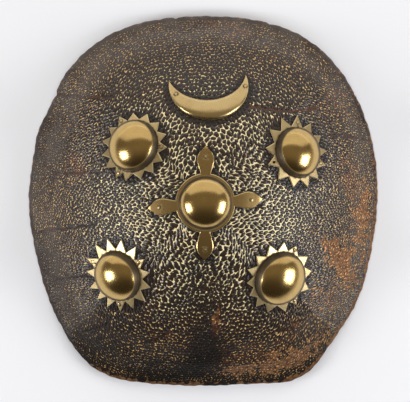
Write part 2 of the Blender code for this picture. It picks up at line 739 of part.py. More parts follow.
class Shield:
    """Adds the shield's pieces under one parent, and gathers the holes that its hide needs."""

    rivet_hole = RIVET_SHANK_RADIUS + HOLE_CLEARANCE
    bolt_hole = BOLT_RADIUS + HOLE_CLEARANCE

    def __init__(self):
        self.parent = bpy.data.objects.new("dhal", None)
        bpy.context.scene.collection.objects.link(self.parent)
        self.materials = {name: finish(name, *look) for name, look in FINISHES.items()}
        self.seats = {sun.name: Seat(sun.across * HALF_WIDTH, sun.along * HALF_HEIGHT) for sun in SUNS}
        self.hide_holes = bmesh.new()

    def add(self, name, bm, matrix, material):
        """Adds a piece."""
        return add_object(name, bm, matrix, self.materials[material], self.parent)

    def drill(self, plate_holes, spot, radius):
        """Notes a hole through a plate and the hide."""
        pin(plate_holes, spot, radius)
        pin(self.hide_holes, spot, radius)

    def rivet(self, name, plate_holes, spot, plate_top=PLATE_THICKNESS + GAP):
        """Adds a rivet and notes its holes."""
        self.drill(plate_holes, spot, self.rivet_hole)
        self.add(f"rivet_{name}", rivet_mesh(spot, plate_top), spot.matrix(), "rivet_brass")

    def boss(self, name, seat, radius):
        """Adds a boss."""
        self.add(f"boss_{name}", boss_mesh(seat, radius), seat.matrix(), "boss_brass")

    def sun(self, sun):
        """Adds a sun's plate, boss and rivets."""
        seat, holes = self.seats[sun.name], bmesh.new()
        plate_name = f"sun_plate_{sun.name}"
        plate = self.add(plate_name, sun_plate_mesh(sun, seat), seat.matrix(), "sun_plate_brass")
        self.boss(sun.name, seat, sun.boss_radius)
        for ray, (direction, reach) in enumerate(sun_directions(sun)):
            spot = seat.beside(*sun.spot(sun.rivet_distance(reach), direction))
            if ray in sun.riveted:
                self.rivet(f"{sun.name}_{1 + sun.riveted.index(ray)}", holes, spot)
            elif ray in sun.empty:
                self.drill(holes, spot, self.rivet_hole)
        self.drill(holes, seat, self.bolt_hole)
        combine(plate, f"holes_{sun.name}", holes, "DIFFERENCE")

    def middle(self):
        """Adds the middle boss and its plate."""
        seat, holes = Seat(*MIDDLE), bmesh.new()
        plate = self.add("middle_plate", middle_plate_mesh(seat), seat.matrix(), "leaf_plate_brass")
        self.boss("middle", seat, MIDDLE_BOSS_RADIUS)
        distance = MIDDLE_BOSS_RADIUS + MIDDLE_DISC_MARGIN + LEAF_RIVET_SHARE * LEAF_LENGTH
        for number, direction in enumerate(LEAF_DIRECTIONS, 1):
            self.rivet(f"leaf_{number}", holes, seat.beside(*polar(distance, direction)))
        combine(plate, "holes_middle", holes, "DIFFERENCE")

    def crescent(self):
        """Adds the crescent."""
        seat, holes = Seat(*CRESCENT), bmesh.new()
        crescent = self.add("crescent", crescent_mesh(seat), seat.matrix(), "crescent_brass")
        for name, *place in CRESCENT_RIVETS:
            top = PLATE_THICKNESS + GAP + crescent_crown(*place)
            self.rivet(f"crescent_{name}", holes, seat.beside(*crescent_spot(*place)), top)
        combine(crescent, "holes_crescent", holes, "DIFFERENCE")

    def grip(self, name, upper, lower):
        """Adds a grip, and the two ring bolts and rings that it hangs from."""
        side = GripSide(self.seats[upper], self.seats[lower])
        self.add(f"grip_{name}", side.mesh(), Matrix.Translation(side.middle), "grip_leather")
        for sun_name, eye, end in ((upper, side.eyes[0], 1), (lower, side.eyes[1], -1)):
            seat = self.seats[sun_name]
            bolt = self.add(f"ring_bolt_{sun_name}", bolt_mesh(seat), seat.matrix(), "ring_iron")
            wire_eye = torus(eye, side.up, side.inward, EYE_RADIUS, EYE_WIRE, EYE_SIDES)
            combine(bolt, f"eye_{sun_name}", wire_eye, "UNION")
            centre = side.ring_centre(end)
            ring = torus(centre, side.across, side.pull(end), RING_RADIUS, RING_WIRE, RING_SIDES)
            self.add(f"ring_{sun_name}", ring, Matrix.Translation(centre), "ring_iron")

    def hide(self):
        """Adds the hide with all the holes noted so far."""
        hide = self.add("hide", hide_mesh(), Matrix(), "hide")
        combine(hide, "holes_hide", self.hide_holes, "DIFFERENCE")

    def stand(self):
        """Moves the whole shield so that the middle of its plan is on the origin."""
        x, y = outline_middle()
        self.parent.location = (-x, -y, 0)
        bpy.context.view_layer.update()


def main():
    """Builds the shield."""
    clear_scene()
    shield = Shield()
    for sun in SUNS:
        shield.sun(sun)
    shield.middle()
    shield.crescent()
    shield.hide()
    for name, upper, lower in GRIP_SIDES:
        shield.grip(name, upper, lower)
    shield.stand()


main()
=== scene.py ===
"""A dhal dressed over its CAD frame: grained lacquered hide, brass bosses, suns, leaves and crescent.

The hide is a skin of fine mesh in four quarters. Seeded noise draws its grain, and Geometry Nodes raise
it. Sizes are metres in the frame's space: +Z up out of the domed face, +Y towards the crescent, +X to
the right as the face is seen.
"""

import logging
import math
from dataclasses import dataclass, field
from enum import Enum
from random import Random
from typing import Callable, Iterable, Sequence

import bpy
import numpy as np
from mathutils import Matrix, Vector


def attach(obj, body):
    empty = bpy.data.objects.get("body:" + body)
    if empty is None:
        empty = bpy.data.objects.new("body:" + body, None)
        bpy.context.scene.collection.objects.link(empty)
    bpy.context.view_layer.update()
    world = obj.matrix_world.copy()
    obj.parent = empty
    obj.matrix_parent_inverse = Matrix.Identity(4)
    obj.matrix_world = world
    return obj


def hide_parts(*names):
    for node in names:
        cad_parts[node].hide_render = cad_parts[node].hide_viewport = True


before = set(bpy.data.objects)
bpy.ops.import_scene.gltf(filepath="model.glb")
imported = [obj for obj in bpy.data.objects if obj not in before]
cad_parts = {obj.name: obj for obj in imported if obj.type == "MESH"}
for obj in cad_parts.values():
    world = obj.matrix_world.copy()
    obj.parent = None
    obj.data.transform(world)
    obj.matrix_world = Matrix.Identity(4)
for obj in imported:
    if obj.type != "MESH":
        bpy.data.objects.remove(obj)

log = logging.getLogger("dhal")

Array = np.ndarray
Colour = tuple[float, float, float]


class Corner(Enum):
    """A corner of the shield, by the name that the frame's nodes give it."""

    UPPER_LEFT = "upper_left"
    UPPER_RIGHT = "upper_right"
    LOWER_LEFT = "lower_left"
    LOWER_RIGHT = "lower_right"


# The hide's quarters, turning left from +X
QUARTERS = (Corner.UPPER_RIGHT, Corner.UPPER_LEFT, Corner.LOWER_LEFT, Corner.LOWER_RIGHT)


class Slot(Enum):
    """The record's material slots."""

    HIDE = "hide"
    BOSS = "boss_brass"
    SUN = "sun_plate_brass"
    LEAF = "leaf_plate_brass"
    CRESCENT = "crescent_brass"
    RIVET = "rivet_brass"
    IRON = "ring_iron"
    LEATHER = "grip_leather"


# ---------------------------------------------------------------- node trees


def operator(operation: str, reflected: bool = False) -> Callable[["Signal", object], "Signal"]:
    """An operator of Signal that adds a Math node.

    Args:
        operation: The node's operation.
        reflected: Whether self comes second.

    Returns:
        The method.
    """

    def method(self: "Signal", other: object) -> "Signal":
        """Adds the node and hands back its result."""
        first, second = (other, self) if reflected else (self, other)
        return self.board.node("ShaderNodeMath", {"operation": operation}, {0: first, 1: second})

    return method


class Signal:
    """What comes out of a node's socket. Sums on it add Math nodes to its board."""

    __add__, __radd__ = operator("ADD"), operator("ADD", True)
    __sub__, __rsub__ = operator("SUBTRACT"), operator("SUBTRACT", True)
    __mul__, __rmul__ = operator("MULTIPLY"), operator("MULTIPLY", True)
    most = operator("MAXIMUM")

    def __init__(self, board: "Board", socket: bpy.types.NodeSocket) -> None:
        """Wraps an output socket."""
        self.board, self.socket = board, socket

    def also(self, name: str) -> "Signal":
        """Another output of the same node."""
        return Signal(self.board, self.socket.node.outputs[name])

    def step(self, low: float, high: float) -> "Signal":
        """A smooth step, 0 below low and 1 above high."""
        values = {"Value": self, "From Min": low, "From Max": high}
        return self.board.node("ShaderNodeMapRange", {"interpolation_type": "SMOOTHSTEP"}, values)


class Board:
    """A node tree that is wired from Python."""

    def __init__(self, tree: bpy.types.NodeTree) -> None:
        """Takes a tree to add to."""
        self.tree = tree

    def fill(self, node: bpy.types.Node, values: dict[object, object]) -> None:
        """Fills a node's inputs.

        Args:
            node: The node.
            values: What each input takes, a number, a colour or a link, by name or index.
        """
        for key, value in values.items():
            socket = node.inputs[key]
            if isinstance(value, Signal):
                self.tree.links.new(value.socket, socket)
            else:
                coloured = isinstance(value, tuple) and socket.type == "RGBA"
                socket.default_value = (*value, 1) if coloured else value

    def node(
        self, kind: str, settings: dict[str, object], values: dict[object, object], output: object = 0
    ) -> Signal:
        """Adds a node.

        Args:
            kind: The node's type.
            settings: Its properties, set first. "stops" are a ramp's places and colours.
            values: What each input takes, by name or index.
            output: Name or index of the output to hand back.

        Returns:
            The chosen output.
        """
        made = self.tree.nodes.new(kind)
        for key, value in settings.items():
            if key == "stops":
                ramp = made.color_ramp.elements
                while len(ramp) < len(value):
                    ramp.new(1.0)
                for stop, (place, colour) in zip(ramp, value):
                    stop.position, stop.color = place, (*colour, 1)
            else:
                setattr(made, key, value)
        self.fill(made, values)
        return Signal(self, made.outputs[output])

    def vector(
        self, operation: str, first: object, values: dict[object, object], output: object = 0
    ) -> Signal:
        """A Vector Math node on a vector or colour."""
        return self.node("ShaderNodeVectorMath", {"operation": operation}, {0: first, **values}, output)

    def scaled(self, colour: Signal, amount: object) -> Signal:
        """A colour made darker or lighter, or a vector made longer."""
        return self.vector("SCALE", colour, {"Scale": amount})


class Paint(Board):
    """The node tree of a material, with what finishes have in common."""

    def __init__(self, name: str) -> None:
        """Makes a material with a bare principled shader."""
        self.material = bpy.data.materials.new(name)
        self.material.use_nodes = True
        super().__init__(self.material.node_tree)
        self.place = self.node("ShaderNodeTexCoord", {}, {}, "Object")

    def finish(self, sockets: dict[str, object]) -> bpy.types.Material:
        """Fills the shader's sockets, and hands back the material."""
        self.fill(self.tree.nodes["Principled BSDF"], sockets)
        return self.material

    def mark(self, name: str) -> Signal:
        """A number that the mesh carries."""
        return self.node("ShaderNodeAttribute", {"attribute_name": name}, {}, "Fac")

    def stretched(self, scale: Colour, turn: float = 0.0) -> Signal:
        """Object coordinates, turned about Z and then scaled along each axis."""
        values = {"Vector": self.place, "Rotation": (0.0, 0.0, turn), "Scale": scale}
        return self.node("ShaderNodeMapping", {"vector_type": "POINT"}, values)

    def noise(self, size: float, detail: float = 2.0, rough: float = 0.5, at: Signal | None = None) -> Signal:
        """Noise from 0 to 1 about one half, with so large features, read at object coordinates or at."""
        values = {"Vector": at or self.place, "Scale": 1 / size, "Detail": detail, "Roughness": rough}
        return self.node("ShaderNodeTexNoise", {}, values, "Fac")

    def cells(self, size: float) -> Signal:
        """Distance to the nearest middle of cells of a size."""
        return self.node("ShaderNodeTexVoronoi", {}, {"Vector": self.place, "Scale": 1 / size}, "Distance")

    def mix(self, share: object, first: object, second: object) -> Signal:
        """A colour between two others."""
        return self.node("ShaderNodeMix", {"data_type": "RGBA"}, {0: share, 6: first, 7: second}, 2)

    def bump(self, height: Signal, depth: float, strength: float) -> Signal:
        """Normal of a surface with so deep a relief."""
        return self.node("ShaderNodeBump", {}, {"Height": height, "Distance": depth, "Strength": strength})


class Making(Board):
    """A Geometry Nodes tree that turns a host mesh into a finished piece."""

    def __init__(self, name: str, sizes: dict[str, int | float]) -> None:
        """Starts a tree.

        Args:
            name: The tree's name.
            sizes: Its named inputs and their values, whole numbers or lengths and shares.
        """
        super().__init__(bpy.data.node_groups.new(name, "GeometryNodeTree"))
        self.sizes = sizes
        kinds = {int: "NodeSocketInt", float: "NodeSocketFloat"}
        face = self.tree.interface
        for way in ("INPUT", "OUTPUT"):
            face.new_socket("Geometry", in_out=way, socket_type="NodeSocketGeometry")
        for key, value in sizes.items():
            face.new_socket(key, in_out="INPUT", socket_type=kinds[type(value)])
        self.entry = self.tree.nodes.new("NodeGroupInput")
        self.host = self.size("Geometry")

    def size(self, name: str) -> Signal:
        """A named input."""
        return Signal(self, self.entry.outputs[name])

    def carried(self, name: str, kind: str = "FLOAT") -> Signal:
        """A number or vector that the host carries."""
        return self.node("GeometryNodeInputNamedAttribute", {"data_type": kind}, {"Name": name})

    def triple(self, x: object, y: object, z: object) -> Signal:
        """A vector of three numbers."""
        return self.node("ShaderNodeCombineXYZ", {}, {"X": x, "Y": y, "Z": z})

    def ball(self, segments: object, rings: int) -> Signal:
        """A ball of radius 1."""
        values = {"Segments": segments, "Rings": rings, "Radius": 1.0}
        return self.node("GeometryNodeMeshUVSphere", {}, values, "Mesh")

    def joined(self, *parts: Signal) -> Signal:
        """Several geometries as one.

        Args:
            parts: The geometries.

        Returns:
            All of them.
        """
        made = self.tree.nodes.new("GeometryNodeJoinGeometry")
        for part in parts:
            self.tree.links.new(part.socket, made.inputs[0])
        return Signal(self, made.outputs[0])

    def set_on(self, points: Signal, thing: Signal, turn: Signal, **values: Signal) -> Signal:
        """A thing on each of some points, turned."""
        values |= {"Points": points, "Instance": thing, "Rotation": turn}
        return self.node("GeometryNodeInstanceOnPoints", {}, values)

    def on_host(self, thing: Signal, axis: str, **values: Signal) -> Signal:
        """A thing on each of the host's points.

        Args:
            thing: What is set there.
            axis: The vector along which its Z points, as the points carry it.
            values: What the node that sets it takes besides.

        Returns:
            The things.
        """
        way = {"Vector": self.carried(axis, "FLOAT_VECTOR")}
        turn = self.node("FunctionNodeAlignRotationToVector", {"axis": "Z"}, way)
        points = self.node("GeometryNodeMeshToPoints", {}, {"Mesh": self.host})
        return self.set_on(points, thing, turn, **values)

    def apply(self, host: bpy.types.Object, shape: Signal, material: bpy.types.Material) -> None:
        """Ends the tree, runs it on a host and leaves the host with the plain result.

        Args:
            host: The object whose mesh is taken and replaced.
            shape: The geometry that the tree has made.
            material: The material that it sets.
        """
        real = self.node("GeometryNodeRealizeInstances", {}, {"Geometry": shape})
        dressed = self.node("GeometryNodeSetMaterial", {}, {"Geometry": real, "Material": material})
        self.fill(self.tree.nodes.new("NodeGroupOutput"), {"Geometry": dressed})
        modifier = host.modifiers.new(self.tree.name, "NODES")
        modifier.node_group = self.tree
        for item in self.tree.interface.items_tree:
            if item.in_out == "INPUT" and item.name in self.sizes:
                modifier[item.identifier] = self.sizes[item.name]
        freeze(host, modifier)


def freeze(piece: bpy.types.Object, modifier: bpy.types.Modifier) -> None:
    """Leaves a piece with the plain mesh that its modifier makes.

    Args:
        piece: The piece.
        modifier: The modifier, which is taken off it.
    """
    evaluated = piece.evaluated_get(bpy.context.evaluated_depsgraph_get())
    made = bpy.data.meshes.new_from_object(evaluated)
    piece.modifiers.remove(modifier)
    piece.data = made


# ---------------------------------------------------------------- finishes


@dataclass(frozen=True)
class LacqueredHide:
    """Old rawhide: a dark glossy coat, worn through to pale grain and bare brown patches."""

    name: str = "lacquered_hide"
    coat_warm: Colour = (0.031, 0.0165, 0.01)
    coat_cool: Colour = (0.022, 0.0155, 0.012)
    amber: Colour = (0.68, 0.42, 0.16)
    grey_sheen: Colour = (0.11, 0.088, 0.074)
    cream: Colour = (0.92, 0.77, 0.44)
    bare_dark: Colour = (0.14, 0.047, 0.015)
    bare_light: Colour = (0.66, 0.34, 0.14)
    rust: Colour = (0.125, 0.04, 0.016)

    def material(self) -> bpy.types.Material:
        """Coat, grain and wear, each where the skin's marks put it, with painted shade and a painted grey
        sheen near the rim.

        Returns:
            The material.
        """
        paint = Paint(self.name)
        fine, flecks = paint.noise(0.0014, 3.0), paint.noise(0.0045, 3.0)
        cloud, drift = paint.noise(0.03, 3.0), paint.noise(0.011, 2.0)
        pale = (paint.mark("pale") + (fine - 0.5) * 0.25).step(0.0, 0.32)
        # A band just outside each pale line: painted shade along the edges of the pale grooves.
        beside = (paint.mark("pale") + 0.5).step(0.0, 0.4) * (1 - pale)
        bare = (paint.mark("bare") + (drift - 0.5) * 1.1 + (flecks - 0.5) * 1.5).step(0.46, 0.58)
        rust = (paint.mark("rust") + (drift - 0.5) * 0.9 + (flecks - 0.5) * 0.7).step(0.45, 0.75)
        cream = (paint.mark("cream") + (flecks - 0.5) * 0.7).step(0.0, 1.0)
        shade = paint.mark("shade")
        coat = paint.mix(cloud.step(0.35, 0.65), self.coat_warm, self.coat_cool)
        coat = paint.mix(rust * 0.75, paint.scaled(coat, 0.4 + fine * 1.2), self.rust)
        # A painted grey sheen near the rim: the reflection of the pale floor on the steep edge, painted into
        # the coat.
        sheen_share = (0.2 - paint.mark("cream")).step(0.0, 0.12) * (1 - shade) * cloud.step(0.25, 0.6)
        coat = paint.mix(sheen_share * 0.6, coat, self.grey_sheen)
        # Painted shade darkens the coat where the shade mark is high, and beside the pale grooves.
        coat = paint.scaled(coat, (1 - shade * 0.8) * (1 - beside * 0.5))
        grain = paint.mix(cream, self.amber, self.cream)
        grain = paint.scaled(grain, (0.7 + flecks * 0.6) * (1 - shade * 0.15))
        worn = paint.mix((flecks * 0.6 + fine * 0.5).step(0.35, 0.75), self.bare_dark, self.bare_light)
        worn = paint.scaled(worn, (0.4 + pale * 1.5) * (1 - shade * 0.3))
        dull = (pale * 0.35 + bare * 0.55).most(shade * 0.9)
        return paint.finish({
            "Base Color": paint.mix(bare, paint.mix(pale, coat, grain), worn),
            "Roughness": 0.3 + (cloud - 0.5) * 0.2 + dull * 0.35,
            "Specular IOR Level": 0.15,
            "Coat Weight": (paint.mark("cream").most(0.0) * 0.6 + 0.45) * (1 - dull),
            "Coat Roughness": 0.13,
            "Normal": paint.bump(fine + flecks * 0.6, 0.00025, 0.7),
        })


@dataclass(frozen=True)
class Brass:
    """Old brass, polished on its swellings, browned by its tarnish, and dark where grime and painted shade
    lie.
    """

    name: str
    metal: Colour = (0.62, 0.43, 0.17)
    tarnish: Colour = (0.3, 0.175, 0.06)
    tarnished: float = 0.4
    roughness: float = 0.16
    brushed: float = 0.15
    grime: Colour = (0.03, 0.02, 0.012)
    rubbed: Colour = (0.85, 0.72, 0.42)

    def material(self) -> bpy.types.Material:
        """Clouded metal with hairline scratches, and grime and painted shade where the mesh carries them.

        Returns:
            The material.
        """
        paint = Paint(self.name)
        cloud, fine = paint.noise(0.014, 4.0, 0.6), paint.noise(0.0012, 2.0)
        hair = paint.noise(0.02, 2.0, at=paint.stretched((1.0, 26.0, 1.0), 0.5))
        cross = paint.noise(0.02, 2.0, at=paint.stretched((22.0, 1.0, 1.0), 0.2))
        stain = (cloud + (fine - 0.5) * 0.08).step(0.4, 0.8) * self.tarnished
        # The carried mark is mostly painted shade: the domes' steep lower sides, and painted shadows round
        # their feet and round each rivet; a little of it is grime.
        grime = (paint.mark("grime") * (0.9 + (cloud - 0.5) * 0.4)).step(0.1, 0.9)
        colour = paint.mix(stain, self.metal, self.tarnish)
        colour = paint.mix(grime, paint.scaled(colour, 0.93 + (hair + cross) * 0.07), self.grime)
        rubbed = (paint.mark("edge") + (cloud - 0.5) * 0.5).step(0.35, 0.95) * 0.7
        return paint.finish({
            "Base Color": paint.mix(rubbed, colour, self.rubbed),
            "Metallic": (1 - grime * 0.7) * (1 - rubbed * 0.6),
            "Roughness": self.roughness + stain * 0.2 + grime * 0.3 + (fine - 0.5) * 0.04,
            "Normal": paint.bump(hair + cross, 0.00004, self.brushed),
        })


@dataclass(frozen=True)
class ForgedIron:
    """Blackened iron with a little rust."""

    name: str = "forged_iron"
    black: Colour = (0.05, 0.047, 0.045)
    grey: Colour = (0.13, 0.12, 0.115)
    rust: Colour = (0.14, 0.05, 0.02)

    def material(self) -> bpy.types.Material:
        """Dark scale with rusty blooms and hammered bump.

        Returns:
            The material.
        """
        paint = Paint(self.name)
        bloom, fine = paint.noise(0.006, 4.0, 0.6), paint.noise(0.001, 3.0)
        rust = (bloom + (fine - 0.5) * 0.5).step(0.5, 0.7)
        return paint.finish({
            "Base Color": paint.mix(rust, paint.mix(fine, self.black, self.grey), self.rust),
            "Metallic": 1 - rust * 0.85,
            "Roughness": 0.42 + rust * 0.4 + (fine - 0.5) * 0.1,
            "Normal": paint.bump(bloom + fine * 0.4, 0.0003, 0.7),
        })


@dataclass(frozen=True)
class GripLeather:
    """Thick brown leather, creased by hands and rubbed pale along its edges."""

    name: str = "grip_leather_worn"
    dark: Colour = (0.07, 0.033, 0.018)
    brown: Colour = (0.15, 0.075, 0.038)
    rubbed: Colour = (0.3, 0.17, 0.09)

    def material(self) -> bpy.types.Material:
        """Pebbled grain, stains and rubbed edges.

        Returns:
            The material.
        """
        paint = Paint(self.name)
        pebble, cloud = paint.cells(0.0011), paint.noise(0.012, 4.0, 0.6)
        crease = paint.noise(0.006, 3.0, at=paint.stretched((1.0, 3.5, 1.0)))
        rubbed = (paint.mark("edge") + (cloud - 0.5) * 0.8).step(0.35, 0.8)
        colour = paint.mix(rubbed * 0.7, paint.mix(cloud.step(0.3, 0.7), self.dark, self.brown), self.rubbed)
        return paint.finish({
            "Base Color": paint.scaled(colour, 0.75 + pebble * 0.6),
            "Roughness": 0.5 + cloud * 0.2 + rubbed * 0.12,
            "Normal": paint.bump(pebble * 0.5 + crease, 0.0004, 0.8),
        })


@dataclass(frozen=True)
class WaxedThread:
    """Linen thread, waxed and grubby."""

    name: str = "waxed_thread"
    dark: Colour = (0.22, 0.15, 0.08)
    pale: Colour = (0.5, 0.39, 0.23)

    def material(self) -> bpy.types.Material:
        """Twisted strands by a fine slanting bump.

        Returns:
            The material.
        """
        paint = Paint(self.name)
        twist = paint.noise(0.0009, 2.0, at=paint.stretched((1.0, 1.0, 3.0), 0.7))
        return paint.finish({
            "Base Color": paint.mix(twist, self.dark, self.pale),
            "Roughness": 0.6 + twist * 0.2,
            "Normal": paint.bump(twist, 0.0002, 0.8),
        })


@dataclass(frozen=True)
class PaleFloor:
    """A pale matt floor."""

    name: str = "pale_floor"
    dark: Colour = (0.84, 0.852, 0.9)
    pale: Colour = (0.87, 0.882, 0.925)

    def material(self) -> bpy.types.Material:
        """Almost even, a little cool.

        Returns:
            The material.
        """
        paint = Paint(self.name)
        cloud = paint.noise(0.5, 2.0)
        return paint.finish({
            "Base Color": paint.mix(cloud, self.dark, self.pale),
            "Roughness": 0.9 + cloud * 0.05,
        })


# ---------------------------------------------------------------- the hide's form


def smooth(value: Array | float) -> Array:
    """0 below 0, 1 above 1, and a smooth step between."""
    value = np.clip(value, 0.0, 1.0)
    return value * value * (3 - 2 * value)


def rays(angle: Array) -> Array:
    """Plan directions of angles, one to a row."""
    return np.stack([np.cos(angle), np.sin(angle)], axis=-1)


def polar(radius: Array | float, degrees: Array | float) -> Array:
    """Plane spots at distances and directions."""
    turn = np.radians(degrees)
    return np.stack([radius * np.cos(turn), radius * np.sin(turn)], axis=-1)


def bells(angle: Array, places: Sequence[tuple[float, float, float]]) -> Array:
    """A sum of bell curves round the rim.

    Args:
        angle: Where it is read.
        places: Each curve's direction and spread in degrees, and its height.

    Returns:
        The sum.
    """
    total = np.zeros_like(angle)
    for place, spread, height in places:
        away = (np.degrees(angle) - place + 180) % 360 - 180
        total = total + height * np.exp(-((away / spread) ** 2))
    return total


@dataclass(frozen=True)
class HideForm:
    """The smooth form of the hide, as in the frame's solids."""

    half_width: float = 0.224
    half_height: float = 0.235
    outline_power: float = 2.3
    apex: float = 0.135
    side_power: float = 2.0
    end_power: float = 2.35
    rim_lift: float = 0.015
    resting_sine: float = 0.45
    flare: float = 0.0025
    flare_start: float = 0.86
    thickness: float = 0.008
    rounding: float = 0.002
    swells: tuple = (
        (57, 18, 0.018), (120, 14, 0.009), (148, 7, -0.022), (166, 9, -0.013),
        (200, 14, -0.02), (238, 14, 0.058), (299, 11, 0.069), (343, 13, -0.016),
    )

    def base(self, angle: Array) -> Array:
        """The plain superellipse under the rim.

        Args:
            angle: Directions in plan.

        Returns:
            The plan distance to it in each.
        """
        power = self.outline_power
        sides = ((np.cos(angle), self.half_width), (np.sin(angle), self.half_height))
        return sum(np.abs(way / half) ** power for way, half in sides) ** (-1 / power)

    def rim(self, angle: Array) -> Array:
        """Plan distance to the rim, with its swells."""
        return self.base(angle) + self.half_width * bells(angle, self.swells)

    def rim_height(self, angle: Array) -> Array:
        """Height of the rim's underside."""
        return self.rim_lift * smooth((np.abs(np.sin(angle)) - self.resting_sine) / (1 - self.resting_sine))

    def dome(self, x: Array, y: Array) -> Array:
        """Height of the dome before its rim is trimmed.

        Args:
            x: Points of the ground.
            y: Points of the ground.

        Returns:
            The height over each.
        """
        side = self.apex * (np.abs(x) / self.half_width) ** self.side_power
        end = (self.apex - self.rim_lift) * (np.abs(y) / self.half_height) ** self.end_power
        return self.apex - side - end

    def height(self, x: Array, y: Array) -> Array:
        """Height of the outer face.

        Args:
            x: Points of the ground.
            y: Points of the ground.

        Returns:
            The height over each.
        """
        angle = np.arctan2(y, x)
        rim, base = self.rim(angle), self.base(angle)
        share = np.hypot(x, y) / rim
        stretch = 1 + (rim / base - 1) * share ** 2
        at_rim = self.dome(base * np.cos(angle), base * np.sin(angle))
        trim = self.rim_height(angle) + self.rounding - at_rim
        bend = np.clip((share - self.flare_start) / (1 - self.flare_start), 0, 1)
        flare = self.flare * np.sin(math.pi * bend) ** 2
        return self.dome(x / stretch, y / stretch) + trim * share ** 4 - flare

    def normal(self, x: Array, y: Array, step: float = 0.0002) -> Array:
        """Outward normals of the outer face.

        Args:
            x: Points of the ground.
            y: Points of the ground.
            step: How far apart heights are compared.

        Returns:
            The unit normals.
        """
        slope_x = (self.height(x + step, y) - self.height(x - step, y)) / (2 * step)
        slope_y = (self.height(x, y + step) - self.height(x, y - step)) / (2 * step)
        out = np.stack([-slope_x, -slope_y, np.ones_like(slope_x)], axis=-1)
        return out / np.linalg.norm(out, axis=-1, keepdims=True)

    def point(self, x: Array, y: Array, lift: Array | float = 0.0) -> Array:
        """Points of the outer face.

        Args:
            x: Points of the ground below them.
            y: Points of the ground below them.
            lift: How far they are moved out along the normal.

        Returns:
            The points.
        """
        x, y = np.asarray(x, float), np.asarray(y, float)
        lift = np.broadcast_to(np.asarray(lift, float), x.shape)[..., None]
        return np.stack([x, y, self.height(x, y)], axis=-1) + self.normal(x, y) * lift

    def inner_reach(self, angle: Array) -> Array:
        """Where the inner face comes down to the rim's underside.

        Args:
            angle: Directions in plan.

        Returns:
            The share of the outline in each.
        """
        low, high = np.full_like(angle, 0.5), np.ones_like(angle)
        for _ in range(30):
            middle = (low + high) / 2
            spot = rays(angle) * (middle * self.rim(angle))[..., None]
            inside = self.point(spot[..., 0], spot[..., 1], -self.thickness)[..., 2] > self.rim_height(angle)
            low, high = np.where(inside, middle, low), np.where(inside, high, middle)
        return low

    def middle(self) -> Array:
        """Middle of the plan.

        Returns:
            The point that the frame shifts onto the origin, and the whole shield with it.
        """
        angle = np.linspace(0, 2 * math.pi, 57)[:-1]
        spots = rays(angle) * self.rim(angle)[:, None]
        return np.append((spots.min(axis=0) + spots.max(axis=0)) / 2, 0.0)


FORM = HideForm()
SHIFT = FORM.middle()


class Seat:
    """A place on the hide, with axes along it: u towards +X from above, v, and out."""

    def __init__(self, x: float, y: float) -> None:
        """Stands the seat over a point of the ground."""
        self.x, self.y = float(x), float(y)
        self.origin = FORM.point(self.x, self.y)
        self.out = FORM.normal(self.x, self.y)
        along = np.cross((0.0, 1.0, 0.0), self.out)
        self.u = along / np.linalg.norm(along)
        self.v = np.cross(self.out, self.u)

    def ground(self, u: Array, v: Array) -> tuple[Array, Array]:
        """Where on the ground points of the hide stand.

        Args:
            u: How far they are off the seat along u.
            v: How far along v.

        Returns:
            Their x and y.
        """
        x = self.x + u * self.u[0] + v * self.v[0]
        y = self.y + u * self.u[1] + v * self.v[1]
        for _ in range(5):
            away = FORM.point(x, y) - self.origin
            miss_u, miss_v = u - away @ self.u, v - away @ self.v
            x = x + self.u[0] * miss_u + self.v[0] * miss_v
            y = y + self.u[1] * miss_u + self.v[1] * miss_v
        return x, y

    def place(self, spots: Array, lift: Array | float) -> Array:
        """Points over the hide at plane spots, moved out by lift."""
        return FORM.point(*self.ground(spots[..., 0], spots[..., 1]), lift)

    def beside(self, spot: Array) -> "Seat":
        """Another seat, away from this one by a plane spot."""
        return Seat(*self.ground(spot[0], spot[1]))

    def vectors(self, spots: Array) -> Array:
        """Plane spots as vectors in space."""
        return spots[..., :1] * self.u + spots[..., 1:] * self.v

    def spots(self, points: Array) -> Array:
        """Plane spots of points in space."""
        away = points - self.origin
        return np.stack([away @ self.u, away @ self.v], axis=-1)

    def ring(self, radius: float, turns: Array, lift: float) -> Array:
        """Points round the seat's axis."""
        return self.origin + self.vectors(polar(radius, turns)) + self.out * lift


# ---------------------------------------------------------------- meshes


def linked(name: str, data: bpy.types.ID) -> bpy.types.Object:
    """A new object in the scene, at the origin.

    Args:
        name: Its name.
        data: Its mesh, light or camera.

    Returns:
        The object.
    """
    made = bpy.data.objects.new(name, data)
    bpy.context.scene.collection.objects.link(made)
    return made


def bare_points(
    name: str, points: Sequence[Array], edges: Sequence = (), **carried: Sequence
) -> bpy.types.Object:
    """An object of bare points, for a Geometry Nodes tree to build on.

    Args:
        name: Its name.
        points: The points.
        edges: Edges between them.
        carried: A number or a vector for each point, by name.

    Returns:
        The object.
    """
    mesh = bpy.data.meshes.new(name)
    mesh.from_pydata((np.array(points) - SHIFT).tolist(), edges, [])
    for key, values in carried.items():
        kind, part = ("FLOAT_VECTOR", "vector") if np.ndim(values) > 1 else ("FLOAT", "value")
        mesh.attributes.new(key, kind, "POINT").data.foreach_set(part, np.ravel(values))
    return linked(name, mesh)


